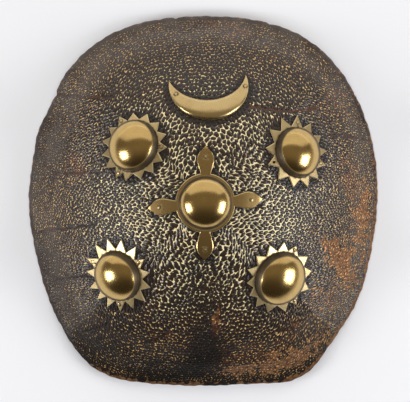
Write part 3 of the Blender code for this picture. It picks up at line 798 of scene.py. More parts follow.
@dataclass
class Solid:
    """Points, faces and marks of a closed mesh, gathered before it becomes a piece."""

    points: list = field(default_factory=list)
    faces: list = field(default_factory=list)
    marks: dict = field(default_factory=dict)

    def add(self, points: Array, **marks: Array | float) -> Array:
        """Adds points with their marks.

        Args:
            points: The points, in any shape of grid.
            marks: A number for each point, or one for all.

        Returns:
            The points' numbers, in the same shape of grid.
        """
        first, shape = len(self.points), points.shape[:-1]
        self.points.extend(points.reshape(-1, 3))
        for name in {**self.marks, **marks}:
            row = self.marks.setdefault(name, [0.0] * first)
            row.extend(np.broadcast_to(marks.get(name, 0.0), shape).ravel())
        return np.arange(first, len(self.points)).reshape(shape)

    def strips(self, rows: Sequence[Sequence[int]], closed: bool = False) -> None:
        """Adds faces between each closed row of points and the next.

        Args:
            rows: The rows, of as many points each.
            closed: Whether the first and last rows are filled too.
        """
        for first, second in zip(rows, rows[1:]):
            for here in range(len(first)):
                after = (here + 1) % len(first)
                self.faces.append((first[here], first[after], second[after], second[here]))
        if closed:
            self.faces += [tuple(rows[0][::-1]), tuple(rows[-1])]

    def fan(self, ring: Sequence[int], tip: int) -> None:
        """Closes a ring with one point."""
        self.faces += [(corner, ring[(here + 1) % len(ring)], tip) for here, corner in enumerate(ring)]

    def piece(self, name: str, material: bpy.types.Material, sharp: float | None = 40.0) -> bpy.types.Object:
        """Makes an object of the mesh.

        Args:
            name: The object's name.
            material: Its material.
            sharp: Edges that turn by more than these degrees are shaded sharp.

        Returns:
            The object, at the origin.
        """
        mesh = bpy.data.meshes.new(name)
        points = np.asarray(self.points) - SHIFT
        mesh.from_pydata(points.tolist(), [], [[int(corner) for corner in face] for face in self.faces])
        for key, row in self.marks.items():
            layer = mesh.attributes.new(key, "FLOAT", "POINT")
            layer.data.foreach_set("value", np.asarray(row, dtype=np.float32))
        mesh.shade_smooth()
        if sharp is not None:
            mesh.set_sharp_from_angle(angle=math.radians(sharp))
        mesh.materials.append(material)
        return linked(name, mesh)


def settle(piece: bpy.types.Object, nodes: Iterable[str] = ()) -> None:
    """Rides a piece on the shield's body.

    Args:
        piece: The finished piece.
        nodes: The frame's nodes that it stands for.
    """
    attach(piece, "root")
    if nodes:
        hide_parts(*nodes)
    log.info("%s: %d faces", piece.name, len(piece.data.polygons))


def rounds(rows: int, count: int) -> list[tuple[int, ...]]:
    """Faces between rings of points, one outside the other.

    Args:
        rows: How many rings.
        count: How many points each has.

    Returns:
        The faces, turning left.
    """
    faces = []
    for first in range(0, (rows - 1) * count, count):
        for at in range(count):
            after = (at + 1) % count
            faces.append((first + at, first + count + at, first + count + after, first + after))
    return faces


def thick_sheet(seat: Seat, spots: Array, faces: list, tops: Array, bottoms: Array, **marks: Array) -> Solid:
    """A sheet of brass on the hide.

    Args:
        seat: Where its plane spots are measured from.
        spots: The plane spots.
        faces: Faces between them, turning left as seen from outside.
        tops: Lift of the upper face at each spot.
        bottoms: Lift of the lower face at each spot.
        marks: What each spot carries.

    Returns:
        The closed sheet.
    """
    solid = Solid()
    over = solid.add(seat.place(spots, tops), **marks)
    under = solid.add(seat.place(spots, bottoms), **marks)
    sides = [(face[at], face[(at + 1) % len(face)]) for face in faces for at in range(len(face))]
    known = set(sides)
    for face in faces:
        solid.faces.append(tuple(over[corner] for corner in face))
        solid.faces.append(tuple(under[corner] for corner in reversed(face)))
    for first, second in sides:
        if (second, first) not in known:
            solid.faces.append((over[second], over[first], under[first], under[second]))
    return solid


def rivet_shade_ring(spots: Array, rivets: Sequence[Array], strength: float, ring: float, spread: float) -> Array:
    """A dark ring of painted shade round each rivet, as if a gap round the head lay in shadow.

    Args:
        spots: Where it is read.
        rivets: The rivets' spots.
        strength: How dark it is.
        ring: The ring's radius.
        spread: How wide it fades.

    Returns:
        The painted shade at each spot.
    """
    beside = np.min([np.linalg.norm(spots - rivet, axis=1) for rivet in rivets], axis=0)
    return strength * np.exp(-(((beside - ring) / spread) ** 2))


def drill(piece: bpy.types.Object, seat: Seat, radius: float, reach: float = 0.012) -> None:
    """Cuts a round hole straight through a piece.

    Args:
        piece: The piece.
        seat: Where the hole is.
        radius: Its radius.
        reach: How far the drill goes to either side.
    """
    pin, turns = Solid(), np.arange(24) * 15.0
    pin.strips([pin.add(seat.ring(radius, turns, lift)) for lift in (-reach, reach)], True)
    cutter = pin.piece("cutter", piece.active_material)
    modifier = piece.modifiers.new("holes", "BOOLEAN")
    modifier.solver = "EXACT"
    modifier.object = cutter
    freeze(piece, modifier)
    bpy.data.objects.remove(cutter, do_unlink=True)


# ---------------------------------------------------------------- the hide's grain and wear


@dataclass(frozen=True)
class Patch:
    """A patch of the hide in plan, an oval with a soft edge."""

    x: float
    y: float
    wide: float
    tall: float
    amount: float = 1.0
    turn: float = 0.0

    def cover(self, x: Array, y: Array) -> Array:
        """How much of the patch reaches points of the ground.

        Args:
            x: The points.
            y: The points.

        Returns:
            Its amount in its middle, falling to 0 outside it.
        """
        c, s = polar(1.0, self.turn)
        across = ((x - self.x) * c + (y - self.y) * s) / self.wide
        along = ((y - self.y) * c - (x - self.x) * s) / self.tall
        return self.amount * np.exp(-((across ** 2 + along ** 2) ** 1.6))


def patches(*rows: Sequence[float]) -> list[Patch]:
    """Patches from rows of x, y, width, height, amount and turn, each half a size."""
    return [Patch(*row) for row in rows]


def covered(area: Sequence[Patch], x: Array, y: Array) -> Array:
    """How much of some patches reaches each point of the ground, added up."""
    return sum(patch.cover(x, y) for patch in area)


@dataclass(frozen=True)
class Crease:
    """A crease or crack in the hide, from start to end, sagging by so much halfway."""

    start: tuple[float, float]
    end: tuple[float, float]
    sag: float
    width: float
    depth: float
    rust: float = 0.0

    def cover(self, x: Array, y: Array) -> Array:
        """How near points of the ground are to its line.

        Args:
            x: The points.
            y: The points.

        Returns:
            1 along the line, fading over its width and towards its ends.
        """
        run = np.subtract(self.end, self.start)
        length = float(np.hypot(*run))
        ahead, aside = run / length, np.array((-run[1], run[0])) / length
        away_x, away_y = x - self.start[0], y - self.start[1]
        along = (away_x * ahead[0] + away_y * ahead[1]) / length
        off = away_x * aside[0] + away_y * aside[1]
        off = off + self.sag * np.sin(math.pi * np.clip(along, 0, 1)) + 0.0007 * np.sin(along * 31)
        ends = smooth(along * 9 + 0.5) * smooth((1 - along) * 9 + 0.5)
        return np.exp(-((off / self.width) ** 2)) * ends


# Where the grain's pale lines run together into nets
NETS = patches(
    (0.052, 0.092, 0.02, 0.013), (0.03, 0.079, 0.013, 0.008), (0.069, 0.074, 0.019, 0.009),
    (0.071, 0.025, 0.034, 0.019), (-0.034, 0.097, 0.018, 0.013), (-0.04, 0.037, 0.02, 0.016),
    (-0.084, -0.024, 0.024, 0.018), (0.076, -0.03, 0.036, 0.024), (-0.012, -0.12, 0.02, 0.01, 0.5),
)
# Where the coat is gone, and what is left of it there
BARE = patches(
    (0.174, -0.066, 0.021, 0.025, 1.05), (0.158, -0.05, 0.012, 0.012, 0.7),
    (0.185, -0.098, 0.012, 0.02, 0.55, 20), (0.137, -0.036, 0.003, 0.008, 0.9),
    (0.06, -0.213, 0.052, 0.014, 0.55), (0.1, -0.196, 0.03, 0.018, 0.5),
    (0.016, -0.145, 0.007, 0.015, 0.55, 12), (0.2, 0.0, 0.012, 0.05, 0.42),
    (0.205, -0.03, 0.01, 0.04, 0.5), (0.15, -0.14, 0.018, 0.03, 0.4, -30),
    (0.148, -0.105, 0.02, 0.012, 0.4), (0.135, -0.185, 0.03, 0.012, 0.5, 35),
    (0.172, 0.118, 0.02, 0.035, 0.3, 35),
)
# Where dark coat still stands in the largest bare patch
DARK_SPOTS = patches(
    (0.174, -0.055, 0.004, 0.006), (0.19, -0.075, 0.003, 0.008), (0.163, -0.085, 0.004, 0.004),
)
# Where the coat is worn to a rusty brown
RUSTY = patches(
    (0.178, 0.038, 0.016, 0.034, 0.5), (0.044, 0.207, 0.03, 0.014, 0.45), (0.08, 0.18, 0.028, 0.008, 0.45),
    (0.165, 0.125, 0.03, 0.03, 0.45, 45), (-0.15, 0.075, 0.035, 0.05, 0.3), (-0.165, 0.03, 0.03, 0.03, 0.3),
    (-0.055, 0.13, 0.035, 0.012, 0.4), (0.016, -0.15, 0.012, 0.022, 0.65), (0.06, -0.2, 0.06, 0.03, 0.55),
    (0.2, -0.02, 0.02, 0.07, 0.55), (0.155, -0.12, 0.035, 0.03, 0.5), (-0.05, -0.165, 0.05, 0.02, 0.4),
    (0.11, -0.16, 0.03, 0.02, 0.5), (-0.19, -0.03, 0.02, 0.03, 0.3), (0.0, 0.225, 0.08, 0.01, 0.35),
)
# Where the coat is darker and less glossy and the grain fainter
DULL = patches(
    (0.006, -0.192, 0.03, 0.03), (-0.13, -0.17, 0.05, 0.035, 0.45), (-0.2, -0.1, 0.03, 0.06, 0.5),
    (-0.2, 0.07, 0.03, 0.06, 0.4), (0.01, 0.115, 0.026, 0.02, 0.35), (0.14, 0.06, 0.012, 0.03, 0.4),
    (-0.04, -0.215, 0.05, 0.02, 0.6), (0.0, -0.115, 0.022, 0.06, 0.4),
)
CREASES = (
    Crease((-0.192, 0.136), (-0.112, 0.129), 0.001, 0.0013, 0.00066, 0.6),
    Crease((-0.187, 0.035), (-0.118, 0.034), -0.001, 0.0015, 0.00048, 0.3),
    Crease((-0.207, -0.039), (-0.133, -0.029), 0.0, 0.0015, 0.00066, 0.4),
    Crease((-0.19, -0.1), (-0.144, -0.092), 0.0, 0.0014, 0.00054, 0.2),
    Crease((-0.152, -0.165), (-0.117, -0.152), 0.001, 0.0014, 0.00048, 0.2),
    Crease((-0.075, -0.177), (-0.04, -0.16), 0.001, 0.0014, 0.00048, 0.1),
    Crease((0.163, 0.161), (0.178, 0.164), 0.0, 0.0012, 0.0006, 0.7),
    Crease((0.054, 0.117), (0.141, 0.115), 0.0045, 0.0018, 0.0006, 0.9),
    Crease((0.15, 0.083), (0.211, 0.078), -0.001, 0.0014, 0.00054, 0.6),
    Crease((0.012, -0.17), (0.02, -0.125), 0.001, 0.0012, 0.0003, 0.5),
)


@dataclass
class Grain:
    """The hide's grain: cells packed in loose rows that bend round with the rim, drawn by seeded noise."""

    seed: int = 11
    cells: int = 512
    span: float = 0.64
    pitch: float = 0.0079
    jitter: float = 0.58
    spread: float = 0.4
    squeeze: float = 0.5
    belt: float = 0.09
    scatter: int = 256

    def __post_init__(self) -> None:
        """Prepares the seeded generator and the square's frequencies."""
        self.random = np.random.default_rng(self.seed)
        side = np.fft.fftfreq(self.cells, self.span / self.cells)
        half = np.fft.rfftfreq(self.cells, self.span / self.cells)
        self.frequency = np.hypot(*np.meshgrid(side, half, indexing="ij"))

    def noise(self, size: float, octaves: int = 2) -> Array:
        """Smooth noise of unit strength.

        Args:
            size: About how large its features are.
            octaves: How many sizes of features it has, each half the last.

        Returns:
            A square of values.
        """
        total = np.zeros((self.cells, self.cells))
        for octave in range(octaves):
            blur = np.exp(-((self.frequency * size * 0.6 / 2 ** octave) ** 2))
            fresh = np.fft.rfft2(self.random.standard_normal((self.cells, self.cells)))
            layer = np.fft.irfft2(fresh * blur, (self.cells, self.cells))
            total += layer / layer.std() / 2 ** octave
        return total / total.std()

    def arcs(self) -> tuple[Array, Array]:
        """The way out to the rim in plan and along the hide.

        Returns:
            Shares of the way in plan, and how far each is along the hide, by the plan's radius.
        """
        share = np.linspace(0, 1.25, 400)
        slope = 2 * FORM.apex / FORM.half_width
        step = np.sqrt(1 + (slope * (share[1:] + share[:-1]) / 2) ** 2) * np.diff(share)
        return share, np.concatenate([[0.0], np.cumsum(step)])

    def flatten(self, x: Array, y: Array) -> tuple[Array, Array]:
        """Where points of the ground lie on the flattened hide.

        Args:
            x: The points.
            y: The points.

        Returns:
            Their places, in metres.
        """
        angle = np.arctan2(y, x)
        rim = FORM.rim(angle)
        out = np.interp(np.hypot(x, y) / rim, *self.arcs()) * rim
        return out * np.cos(angle), out * np.sin(angle)

    def rows(self, x: Array, y: Array) -> tuple[Array, Array]:
        """Where points of the ground lie in the square of rows, closer packed towards the rim.

        Args:
            x: The points.
            y: The points.

        Returns:
            Their places across and up the square, in metres.
        """
        share, along = self.arcs()
        angle = np.arctan2(y, x)
        length = np.interp(1, share, along)
        out = np.interp(np.hypot(x, y) / FORM.rim(angle), share, along) / length
        out = out * (1 + self.spread * out ** 2) * length * FORM.half_width
        side = np.round(np.degrees(angle) / 90)
        aside = out * (np.degrees(angle) / 45 - 2 * side)
        c, s = np.cos(side * math.pi / 2), np.sin(side * math.pi / 2)
        return out * c - aside * s, out * s + aside * c

    def packed(self, across: Array, along: Array) -> Array:
        """Distances to the three nearest cell middles, where rows lie closer along the middle belt.

        Args:
            across: Places across the square of rows, in metres.
            along: Places up the square of rows, in metres.

        Returns:
            Three arrays of distances in pitches, the nearest first.
        """
        tight = 1 + self.squeeze / np.cosh(along / self.belt) ** 2
        along = (along + self.squeeze * self.belt * np.tanh(along / self.belt)) / self.pitch
        across = across / self.pitch
        scatter = self.random.uniform(-0.5, 0.5, (self.scatter, self.scatter, 2)) * self.jitter
        found = []
        for row in (np.floor(along).astype(int) + step for step in (-1, 0, 1)):
            shift = row % 2 / 2
            for step in range(-2, 3):
                column = np.floor(across - shift).astype(int) + step
                spot = scatter[column % self.scatter, row % self.scatter]
                rise = (row + 0.5 + spot[..., 1] - along) / tight
                found.append(np.hypot(column + shift + 0.5 + spot[..., 0] - across, rise))
        return np.sort(np.stack(found), 0)[:3]

    def read(self, layer: Array, x: Array, y: Array) -> Array:
        """Reads a layer.

        Args:
            layer: A square of values.
            x: Points of the flattened hide.
            y: Points of the flattened hide.

        Returns:
            The value at each point.
        """
        across, along = (x / self.span + 0.5) * self.cells, (y / self.span + 0.5) * self.cells
        i, j = np.floor(across).astype(int), np.floor(along).astype(int)
        a, b = across - i, along - j
        i, j = np.clip(i, 0, self.cells - 2), np.clip(j, 0, self.cells - 2)
        near = layer[i, j] * (1 - a) + layer[i + 1, j] * a
        far = layer[i, j + 1] * (1 - a) + layer[i + 1, j + 1] * a
        return near * (1 - b) + far * b


@dataclass
class Sheet:
    """A square grid over the whole hide: its points, their normals, and what each point carries."""

    points: Array
    normals: Array
    marks: dict[str, Array | float]


@dataclass
class HideSkin:
    """The hide: a finely meshed outer face in four quarters, each a closed solid."""

    fittings: "Fittings"
    cells: int = 295
    stride: int = 5
    rounding_rings: int = 6
    inset: float = 0.0002
    peak: float = 0.0001
    depth: float = 0.0009
    sway: float = 0.0016
    bend: float = 0.0003
    fray: float = 0.003
    noises: tuple = (0.012, 0.07, 0.0045, 0.06, 0.06, 0.012)
    nicks: tuple = ((98.5, 0.7, 0.0022), (69.5, 0.8, 0.0018), (144.0, 0.8, 0.002), (35.0, 0.6, 0.001))

    def square(self, cells: int) -> tuple[Array, Array, Array]:
        """A square grid laid over the hide's disc.

        Args:
            cells: Cells from the middle to a side.

        Returns:
            Each grid point's share of the way to the rim, its cosine and its sine.
        """
        axis = np.linspace(-1, 1, 2 * cells + 1)
        a, b = np.meshgrid(axis, axis, indexing="ij")
        far, near = np.maximum(np.abs(a), np.abs(b)), np.minimum(np.abs(a), np.abs(b))
        lean = math.pi / 4 * near / np.maximum(far, 1e-12)
        turn = np.where(np.abs(a) >= np.abs(b), lean, math.pi / 2 - lean)
        share, along = self.grain.arcs()
        reach = np.interp(far * np.interp(1, share, along), along, share)
        return reach, np.cos(turn) * np.sign(a), np.sin(turn) * np.sign(b)

    def rim(self, angle: Array) -> Array:
        """Plan distance to this skin's rim, with its nicks."""
        wavy = 0.00025 * (np.sin(angle * 37) + np.sin(angle * 61 + 1) + np.sin(angle * 113 + 2) - 3)
        return FORM.rim(angle) - self.inset - bells(angle, self.nicks) + wavy

    def weather(self, x: Array, y: Array) -> dict[str, Array]:
        """Relief and marks of the outer face.

        Args:
            x: Ground points.
            y: Ground points.

        Returns:
            The lift that makes the relief, in metres and below 0, and each mark.
        """
        grain = self.grain
        flat = grain.flatten(x, y)
        layers = [grain.read(grain.noise(size), *flat) for size in self.noises]
        uneven, region, ragged, sway, swing, bend = layers
        across, along = grain.rows(x, y)
        across = across + self.sway * sway + self.bend * bend
        along = along + self.sway * swing + self.bend * uneven
        first, second, third = grain.packed(across, along)
        angle = np.arctan2(y, x)
        share = np.hypot(x, y) / FORM.rim(angle)
        out, edge = smooth((share - 0.3) / 0.6), smooth((share - 0.972) / 0.02)
        # low_end grows towards the bottom of the hide; there it makes the grain more amber and, through the
        # shade mark, paints shade on the side turned from the light. The second value is how much the brass
        # keeps wear off the hide beside it and paints shade there.
        low_end, shelter_and_shade = smooth(-y * 7 - 0.7), self.fittings.shelter_and_shade(x, y)
        frayed = x + self.fray * uneven, y + self.fray * region
        dull, nets = np.clip(covered(DULL, *frayed), 0, 1), np.clip(covered(NETS, x, y), 0, 1)
        lines = [(crease, crease.cover(x, y)) for crease in CREASES]
        folded = np.clip(sum(cover for _, cover in lines), 0, 1)

        broken = 0.2 + 0.22 * uneven * (1 - out) - 0.4 * nets
        dots = 0.9 * np.clip(1.2 * out + broken, 0, 1)
        gap = (second - first) * (1 - dots) + 0.8 * (third - first) * dots
        width = 0.16 + 0.05 * out + 0.055 * ragged - 0.1 * dull - 0.14 * shelter_and_shade
        pale = np.clip(3.2 * (width - gap) - 0.7 * folded - 2 * edge, -1, 1)

        below = np.degrees(angle)
        lip = np.exp(-(((below + 30) / 42) ** 4)) + np.exp(-(((below + 106) / 16) ** 4)) + 0.3
        bare = covered(BARE, *frayed) + lip * smooth((share - 0.976 + 0.006 * uneven) / 0.012)
        bare = bare * (1 - np.clip(covered(DARK_SPOTS, x, y), 0, 1))
        rust = covered(RUSTY, *frayed) + 0.16 * smooth(share * 2 - 1)
        rust = rust + sum(crease.rust * cover for crease, cover in lines)
        cream = 1.02 - 0.95 * smooth((share - 0.3) / 0.62) - 0.25 * low_end + 0.05 * smooth(0.5 + x * 2.2)
        # shade is painted shade beside the brass, in the creases and towards the bottom, on the side turned
        # from the light; it also darkens the dull patches.
        shade = np.clip(0.4 * shelter_and_shade + 0.3 * folded + 0.35 * dull + 0.9 * low_end, 0, 1)

        valley = (1 - smooth((second - first) / 0.6)) * (1 - 0.3 * out)
        lift = -self.peak - self.depth * valley * (1 - 0.4 * np.clip(bare, 0, 1))
        lift = lift - 0.00012 * (1 + uneven / 3) - 0.0002 * np.abs(region) * out
        lift = lift * (1 - edge) - 0.0001 * edge
        lift = lift - sum(crease.depth * cover for crease, cover in lines) * (1 - edge)
        return {"lift": lift, "pale": pale, "cream": cream, "bare": bare, "rust": rust, "shade": shade}

    def outer(self) -> Sheet:
        """The outer face, still smooth.

        Returns:
            The face, with the normals of its relief and what will raise it.
        """
        reach, cosine, sine = self.square(self.cells)
        away = reach * self.rim(np.arctan2(sine, cosine))
        x, y = away * cosine, away * sine
        x[self.cells, self.cells] = y[self.cells, self.cells] = 1e-6
        marks = self.weather(x, y)
        points, out = FORM.point(x, y), FORM.normal(x, y)
        marks |= {"out_x": out[..., 0], "out_y": out[..., 1], "out_z": out[..., 2]}
        raised = points + out * marks["lift"][..., None]
        facing = np.cross(np.gradient(raised, axis=0), np.gradient(raised, axis=1))
        return Sheet(points, facing / np.linalg.norm(facing, axis=-1, keepdims=True), marks)

    def inner(self) -> Sheet:
        """The inner face, bare leather that a hand has left a little uneven.

        Returns:
            The face, down to the rim's underside.
        """
        reach, cosine, sine = self.square(self.cells // self.stride)
        angle = np.arctan2(sine, cosine)
        away = reach * FORM.inner_reach(angle) * FORM.rim(angle)
        x, y = away * cosine + 1e-7, away * sine
        hand = 0.0002 * (np.sin(x * 210) * np.sin(y * 190 + 1)) * (1 - reach ** 4)
        points = FORM.point(x, y, -FORM.thickness + hand)
        border = np.pad(np.zeros(np.subtract(x.shape, 2), bool), 1, constant_values=True)
        points[border, 2] = FORM.rim_height(angle)[border]
        return Sheet(points, -FORM.normal(x, y), {"bare": 0.95, "rust": 0.2, "cream": 0.3, "pale": -0.5})

    def build(self) -> None:
        """Makes the four quarters and settles them in place of the frame's hide."""
        self.grain = Grain()
        outer, inner = self.outer(), self.inner()
        material = LacqueredHide().material()
        for number, corner in enumerate(QUARTERS):
            quarter = HideQuarter(self, number)
            quarter.lay(outer, inner)
            for seat in self.fittings.empty_holes(corner):
                quarter.pierce(seat, Sun.hole)
            quarter.close()
            settle(quarter.finish(f"hide_{corner.value}", material), ["hide"])


def chart(low: tuple[float, float], high: tuple[float, float], rows: int, columns: int) -> Array:
    """Places of a grid on a flat chart, its first index running across."""
    across, up = np.linspace(low[0], high[0], rows), np.linspace(low[1], high[1], columns)
    return np.stack(np.meshgrid(across, up, indexing="ij"), axis=-1)


# A block of a grid's cells: its first and last rows, and its first and last columns
Block = tuple[int, int, int, int]


class HideQuarter(Solid):
    """A quarter of the hide as one closed mesh, with a flat chart of its faces for baking.

    Its grids start at the shield's middle. Their first index runs out along the quarter's first side,
    and their second along its last side, turning left.
    """

    chart_name = "OFBake"

    def __init__(self, skin: HideSkin, number: int) -> None:
        """Starts the quarter that lies so many right angles on from +X."""
        super().__init__()
        self.skin, self.number = skin, number
        self.normals: list[Array] = []
        self.spots: list[Sequence[float]] = []
        self.outer_holes: list[Block] = []
        self.inner_holes: list[Block] = []

    def put(self, points: Array, normals: Array, marks: dict[str, Array | float]) -> Array:
        """Adds points with their normals and marks, and hands back their numbers."""
        self.normals.append(normals.reshape(-1, 3))
        return self.add(points, **marks)

    def own(self, grid: Array) -> Array:
        """This quarter's part of a grid over the whole hide."""
        middle = len(grid) // 2
        return np.rot90(grid, -self.number)[middle:, middle:]

    def part(self, sheet: Sheet) -> tuple[Array, Array]:
        """Adds this quarter's part of a sheet.

        Args:
            sheet: The sheet.

        Returns:
            The part's point numbers and its points.
        """
        points, shape = self.own(sheet.points), sheet.points.shape[:2]
        marks = {name: self.own(np.broadcast_to(row, shape)) for name, row in sheet.marks.items()}
        return self.put(points, self.own(sheet.normals), marks), points

    @staticmethod
    def rim(grid: Array) -> Array:
        """The two outer sides of a grid, turning left."""
        return np.concatenate([grid[-1], grid[-2::-1, -1]])

    def face(self, corners: Iterable[int], spots: Iterable[Sequence[float]]) -> None:
        """Adds one face with its places on the chart."""
        self.faces.append(list(corners))
        self.spots.extend(spots)

    def quads(self, numbers: Array, places: Array, start: int = 0, inward: bool = False,
              holes: Iterable[Block] = ()) -> None:
        """Adds the faces of a grid.

        Args:
            numbers: The grid's point numbers.
            places: Their places on the chart.
            start: Which corner a face starts with.
            inward: Whether the faces look down instead of up.
            holes: The blocks of cells that are left out.
        """
        kept = np.ones(np.subtract(numbers.shape, 1), bool)
        for low_i, high_i, low_j, high_j in holes:
            kept[low_i:high_i, low_j:high_j] = False
        i, j = np.nonzero(kept)
        turns = np.roll(((0, 0), (1, 0), (1, 1), (0, 1)), start, axis=0)[::-1 if inward else 1]
        self.faces += np.stack([numbers[i + di, j + dj] for di, dj in turns], 1).tolist()
        self.spots += np.stack([places[i + di, j + dj] for di, dj in turns], 1).reshape(-1, 2).tolist()

    def lay(self, outer: Sheet, inner: Sheet) -> None:
        """Lays the outer face, the rounded edge of the rim, its underside and the inner face.

        Args:
            outer: The outer face of the whole hide.
            inner: Its inner face.
        """
        self.outer, self.outer_points = self.part(outer)
        line, at_rim = self.rim(self.outer), self.rim(self.outer_points)
        turn = np.arctan2(at_rim[:, 1], at_rim[:, 0])
        foot, ways = FORM.rim_height(turn), rays(turn)
        worn = {name: np.array(self.marks[name])[line] for name in ("pale", "cream", "bare", "rust", "shade")}
        worn["bare"] = np.maximum(worn["bare"], 0.5)
        self.rings = [line]
        for bend in np.linspace(0, math.pi / 2, self.skin.rounding_rings + 1)[1:]:
            reach = self.skin.rim(turn) - FORM.rounding * (1 - math.cos(bend))
            level = foot + (at_rim[:, 2] - foot) * (1 - math.sin(bend))
            out = np.column_stack([ways * math.cos(bend), np.full(len(turn), -math.sin(bend))])
            self.rings.append(self.put(np.column_stack([ways * reach[:, None], level]), out, worn))
        strip = chart((0.004, 0.82), (0.99, 0.868), len(turn), len(self.rings))
        self.quads(np.array(self.rings), strip.swapaxes(0, 1))

        self.inner, self.inner_points = self.part(inner)
        inner_line, stride = self.rim(self.inner), self.skin.stride
        for at in range(len(inner_line) - 1):
            outside = np.arange(stride * (at + 1), stride * at - 1, -1)
            across = strip[outside, 0, 0]
            spots = [*((place, 0.885) for place in across), (across[-1], 0.9), (across[0], 0.9)]
            self.face([*self.rings[-1][outside], *inner_line[at:at + 2]], spots)

    @staticmethod
    def border(block: Block) -> tuple[Array, Array]:
        """Grid indices round a block of cells, turning left.

        Args:
            block: The block.

        Returns:
            The indices of rows and of columns.
        """
        low_i, high_i, low_j, high_j = block
        across, along = np.arange(low_i, high_i), np.arange(low_j, high_j)
        i = [across, np.full(len(along), high_i), across[::-1] + 1, np.full(len(along), low_i)]
        j = [np.full(len(across), low_j), along, np.full(len(across), high_j), along[::-1] + 1]
        return np.concatenate(i), np.concatenate(j)

    def pierce(self, seat: Seat, radius: float) -> None:
        """Leads a round hole through the quarter, with a ring of faces round each mouth.

        Args:
            seat: Where the hole is.
            radius: Its radius.
        """
        faces = ((self.outer_points, 3, self.outer_holes), (self.inner_points, 1, self.inner_holes))
        for points, half, holes in faces:
            gap = np.linalg.norm(seat.spots(points), axis=-1)
            i, j = np.unravel_index(np.argmin(gap), gap.shape)
            holes.append((i - half, i + half, j - half, j + half))
        around = self.border(self.outer_holes[-1])
        ways = seat.spots(self.outer_points[around])
        tube = seat.vectors(ways / np.linalg.norm(ways, axis=1, keepdims=True))
        # The hole's wall is painted dark by the shade mark: painted shade inside the hole.
        dark = {"shade": 1.0, "bare": 0.6, "rust": 0.6, "pale": -1.0}
        wall = seat.origin + tube * radius
        top = self.put(wall - seat.out * 0.0004, seat.out - tube * 0.4, dark)
        low = self.put(wall - seat.out * FORM.thickness, -seat.out - tube * 0.4, dark)
        outer_rim, inner_rim = self.outer[around], self.inner[self.border(self.inner_holes[-1])]
        spots = ((0.9, 0.3), (0.92, 0.3), (0.92, 0.32), (0.9, 0.32))
        count, share = len(top), len(top) // len(inner_rim)
        for at in range(count):
            after = (at + 1) % count
            self.face((outer_rim[at], outer_rim[after], top[after], top[at]), spots)
            self.face((top[at], top[after], low[after], low[at]), spots)
        for at, corner in enumerate(inner_rim):
            ring = [low[(share * at + step) % count] for step in range(share + 1)]
            corners = [inner_rim[(at + 1) % len(inner_rim)], corner, *ring]
            turn = np.linspace(0, 2 * math.pi, len(corners) + 1)[:-1]
            self.face(corners[::-1], 0.9 + 0.01 * rays(turn))

    def close(self) -> None:
        """Adds the faces of both grids, and flat walls along the quarter's two straight sides."""
        rows, inner_rows = len(self.outer), len(self.inner)
        places = chart((0.004, 0.004), (0.804, 0.804), rows, rows)
        self.quads(self.outer, places, self.number, False, self.outer_holes)
        places = chart((0.825, 0.004), (0.995, 0.174), inner_rows, inner_rows)
        self.quads(self.inner, places, self.number, True, self.inner_holes)
        for level, end, side in ((0.93, 0, np.s_[:, 0]), (0.96, -1, np.s_[0])):
            path = [*self.outer[side], *(ring[end] for ring in self.rings[1:]), *self.inner[side][::-1]]
            half = len(path) // 2
            spots = np.column_stack([np.linspace(0.004, 0.8, len(path)), np.full(len(path), level)])
            spots[half:, 1] += 0.012
            spots[half:, 0] = spots[half:, 0][::-1]
            self.face(*((path, spots) if end else (path[::-1], spots[::-1])))

    def finish(self, name: str, material: bpy.types.Material) -> bpy.types.Object:
        """Makes the mesh, raises its relief and gives it its normals and chart.

        Args:
            name: The piece's name.
            material: The hide's material.

        Returns:
            The finished piece.
        """
        ends = np.cumsum([len(face) for face in self.faces])
        used, corners = np.unique(np.concatenate(self.faces), return_inverse=True)
        self.faces = np.split(corners, ends[:-1])
        self.points = np.array(self.points)[used]
        self.marks = {key: np.array(row)[used] for key, row in self.marks.items()}
        made = self.piece(name, material, None)
        raise_relief(made, material)
        layer = made.data.uv_layers.new(name=self.chart_name)
        layer.data.foreach_set("uv", np.array(self.spots, dtype=np.float32).ravel())
        made.data.normals_split_custom_set_from_vertices(np.concatenate(self.normals)[used].tolist())
        return made


def raise_relief(host: bpy.types.Object, material: bpy.types.Material) -> None:
    """Raises a skin's relief: each point moves along the out vector that it carries by its lift.

    Args:
        host: The skin.
        material: Its material.
    """
    tree = Making("hide_relief", {"Relief": 1.0})
    out = tree.triple(*(tree.carried(f"out_{axis}") for axis in "xyz"))
    offset = tree.scaled(out, tree.carried("lift") * tree.size("Relief"))
    shape = tree.node("GeometryNodeSetPosition", {}, {"Geometry": tree.host, "Offset": offset})
    for name in ("out_x", "out_y", "out_z", "lift"):
        shape = tree.node("GeometryNodeRemoveAttribute", {}, {"Geometry": shape, "Name": name})
    tree.apply(host, shape, material)


# ---------------------------------------------------------------- brass


@dataclass(frozen=True)
class Rivet:
    """Where a rivet goes through brass and hide, and how much its head still stands up."""

    seat: Seat
    top: float
    domed: float


